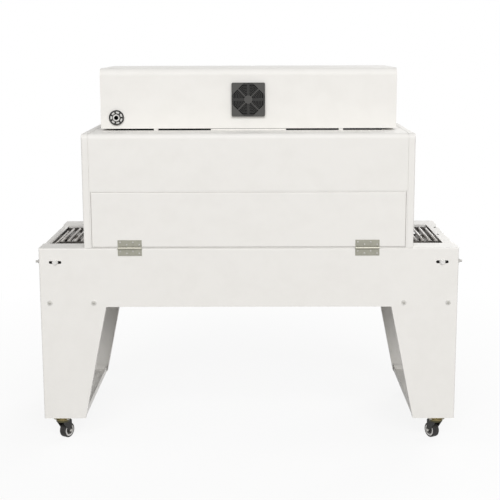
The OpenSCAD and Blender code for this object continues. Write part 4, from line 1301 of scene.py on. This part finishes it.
class TUNNEL_OT_stage(Piece):
    """Makes the floor, the lamps and the camera"""
    bl_idname = "tunnel.stage"
    bl_label = "Set the stage"

    # Place, width and height of each lamp, and the point that both are turned to
    LAMPS = {"Key": ((0.8, -17.8, 11.5), 18.0, 12.0), "Fill": ((9.6, 16.5, 7.0), 12.0, 8.0)}
    TARGET = Vector((0.0, 0.0, 0.7))
    # The floor turns white between two distances from the middle
    FLOOR_RADIUS, FADE, FADE_START = 14.0, (0.9, 2.6), 0.86

    def make(self, scene):
        size = scene.tunnel_stage
        scene.view_settings.view_transform = "Standard"
        self.world(scene, size)
        self.floor(scene, size)
        for name, (place, width, height) in self.LAMPS.items():
            self.lamp(scene, name, getattr(size, name.lower()), place, width, height)
        self.camera(scene, size)

    def world(self, scene, size):
        world = bpy.data.worlds.new("Studio")
        scene.world = world
        world.use_nodes = True
        tree = world.node_tree
        strength = ramp(tree, seen_rays(tree), 0.0, 1.0, size.ambient, 1.0)
        background = tree.nodes["Background"].inputs
        background["Color"].default_value = (1.0, 1.0, 1.0, 1.0)
        tree.links.new(strength, background["Strength"])

    def floor(self, scene, size):
        made = bpy.data.materials.new("Studio floor")
        made.use_nodes = True
        tree = made.node_tree
        tree.nodes.remove(tree.nodes["Principled BSDF"])
        where = tree.nodes.new("ShaderNodeTexCoord").outputs["Object"]
        fade = ramp(tree, vector_node(tree, "LENGTH", where), *self.FADE, self.FADE_START, 1.0)
        matt, dim = (add_node(tree, "ShaderNodeBsdfDiffuse", {"Color": rgba(tone)}).outputs[0]
                     for tone in (size.floor, size.floor_light))
        white = add_node(tree, "ShaderNodeEmission", {"Strength": 1.0}).outputs[0]
        pale = add_node(tree, "ShaderNodeMixShader", {0: fade, 1: matt, 2: white}).outputs[0]
        both = add_node(tree, "ShaderNodeMixShader", {0: seen_rays(tree), 1: dim, 2: pale})
        tree.links.new(both.outputs[0], tree.nodes["Material Output"].inputs["Surface"])
        bm = bmesh.new()
        bmesh.ops.create_circle(bm, cap_ends=True, segments=64, radius=self.FLOOR_RADIUS)
        floor = bpy.data.objects.new("floor", mesh_from(bm, "floor", made))
        scene.collection.objects.link(floor)

    def lamp(self, scene, name, energy, place, width, height):
        data = bpy.data.lights.new(name, "AREA")
        data.shape = "RECTANGLE"
        data.size, data.size_y = width, height
        data.energy = energy
        made = bpy.data.objects.new(name, data)
        made.location = place
        made.rotation_mode = "QUATERNION"
        made.rotation_quaternion = (self.TARGET - Vector(place)).to_track_quat("-Z", "Y")
        scene.collection.objects.link(made)

    def camera(self, scene, size):
        yaw, tilt, roll = size.turn
        ahead = Vector((math.sin(yaw) * math.cos(tilt), math.cos(yaw) * math.cos(tilt),
                        -math.sin(tilt)))
        right = Vector((math.cos(yaw), -math.sin(yaw), 0.0))
        up = right.cross(ahead)
        side = right * math.cos(roll) + up * math.sin(roll)
        top = up * math.cos(roll) - right * math.sin(roll)
        data = bpy.data.cameras.new("Camera")
        data.sensor_width = 36.0
        data.lens = size.focal
        made = bpy.data.objects.new("Camera", data)
        axes = Matrix((side, top, -ahead)).transposed()
        made.matrix_world = Matrix.Translation(Vector(size.camera)) @ axes.to_4x4()
        scene.collection.objects.link(made)
        scene.camera = made


PIECES = (
    TUNNEL_OT_sheet_metal,
    TUNNEL_OT_seals,
    TUNNEL_OT_conveyor,
    TUNNEL_OT_tension_screws,
    TUNNEL_OT_hinges,
    TUNNEL_OT_screws,
    TUNNEL_OT_fan_guard,
    TUNNEL_OT_cable_gland,
    TUNNEL_OT_controls,
    TUNNEL_OT_casters,
    TUNNEL_OT_stage,
)


class TUNNEL_PT_pieces(bpy.types.Panel):
    """Lists the tunnel's settings and the operators that make its pieces"""
    bl_idname = "TUNNEL_PT_pieces"
    bl_label = "Shrink tunnel"
    bl_space_type = "VIEW_3D"
    bl_region_type = "UI"
    bl_category = "Shrink tunnel"

    def draw(self, context):
        for piece in PIECES:
            self.layout.operator(piece.bl_idname)
        for name, group in GROUPS.items():
            box = self.layout.box()
            for key in group.__annotations__:
                box.prop(getattr(context.scene, name), key)


CLASSES = (*GROUPS.values(), *PIECES, TUNNEL_PT_pieces)


def register():
    """Registers the classes and the scene's settings."""
    for item in CLASSES:
        bpy.utils.register_class(item)
    for name, group in GROUPS.items():
        setattr(bpy.types.Scene, name, PointerProperty(type=group))


def unregister():
    """Removes the scene's settings and the classes."""
    for name in GROUPS:
        delattr(bpy.types.Scene, name)
    for item in reversed(CLASSES):
        bpy.utils.unregister_class(item)


def main():
    """Registers the settings and makes every piece."""
    register()
    for piece in PIECES:
        family, name = piece.bl_idname.split(".")
        getattr(getattr(bpy.ops, family), name)()


if __name__ == "__main__":
    main()
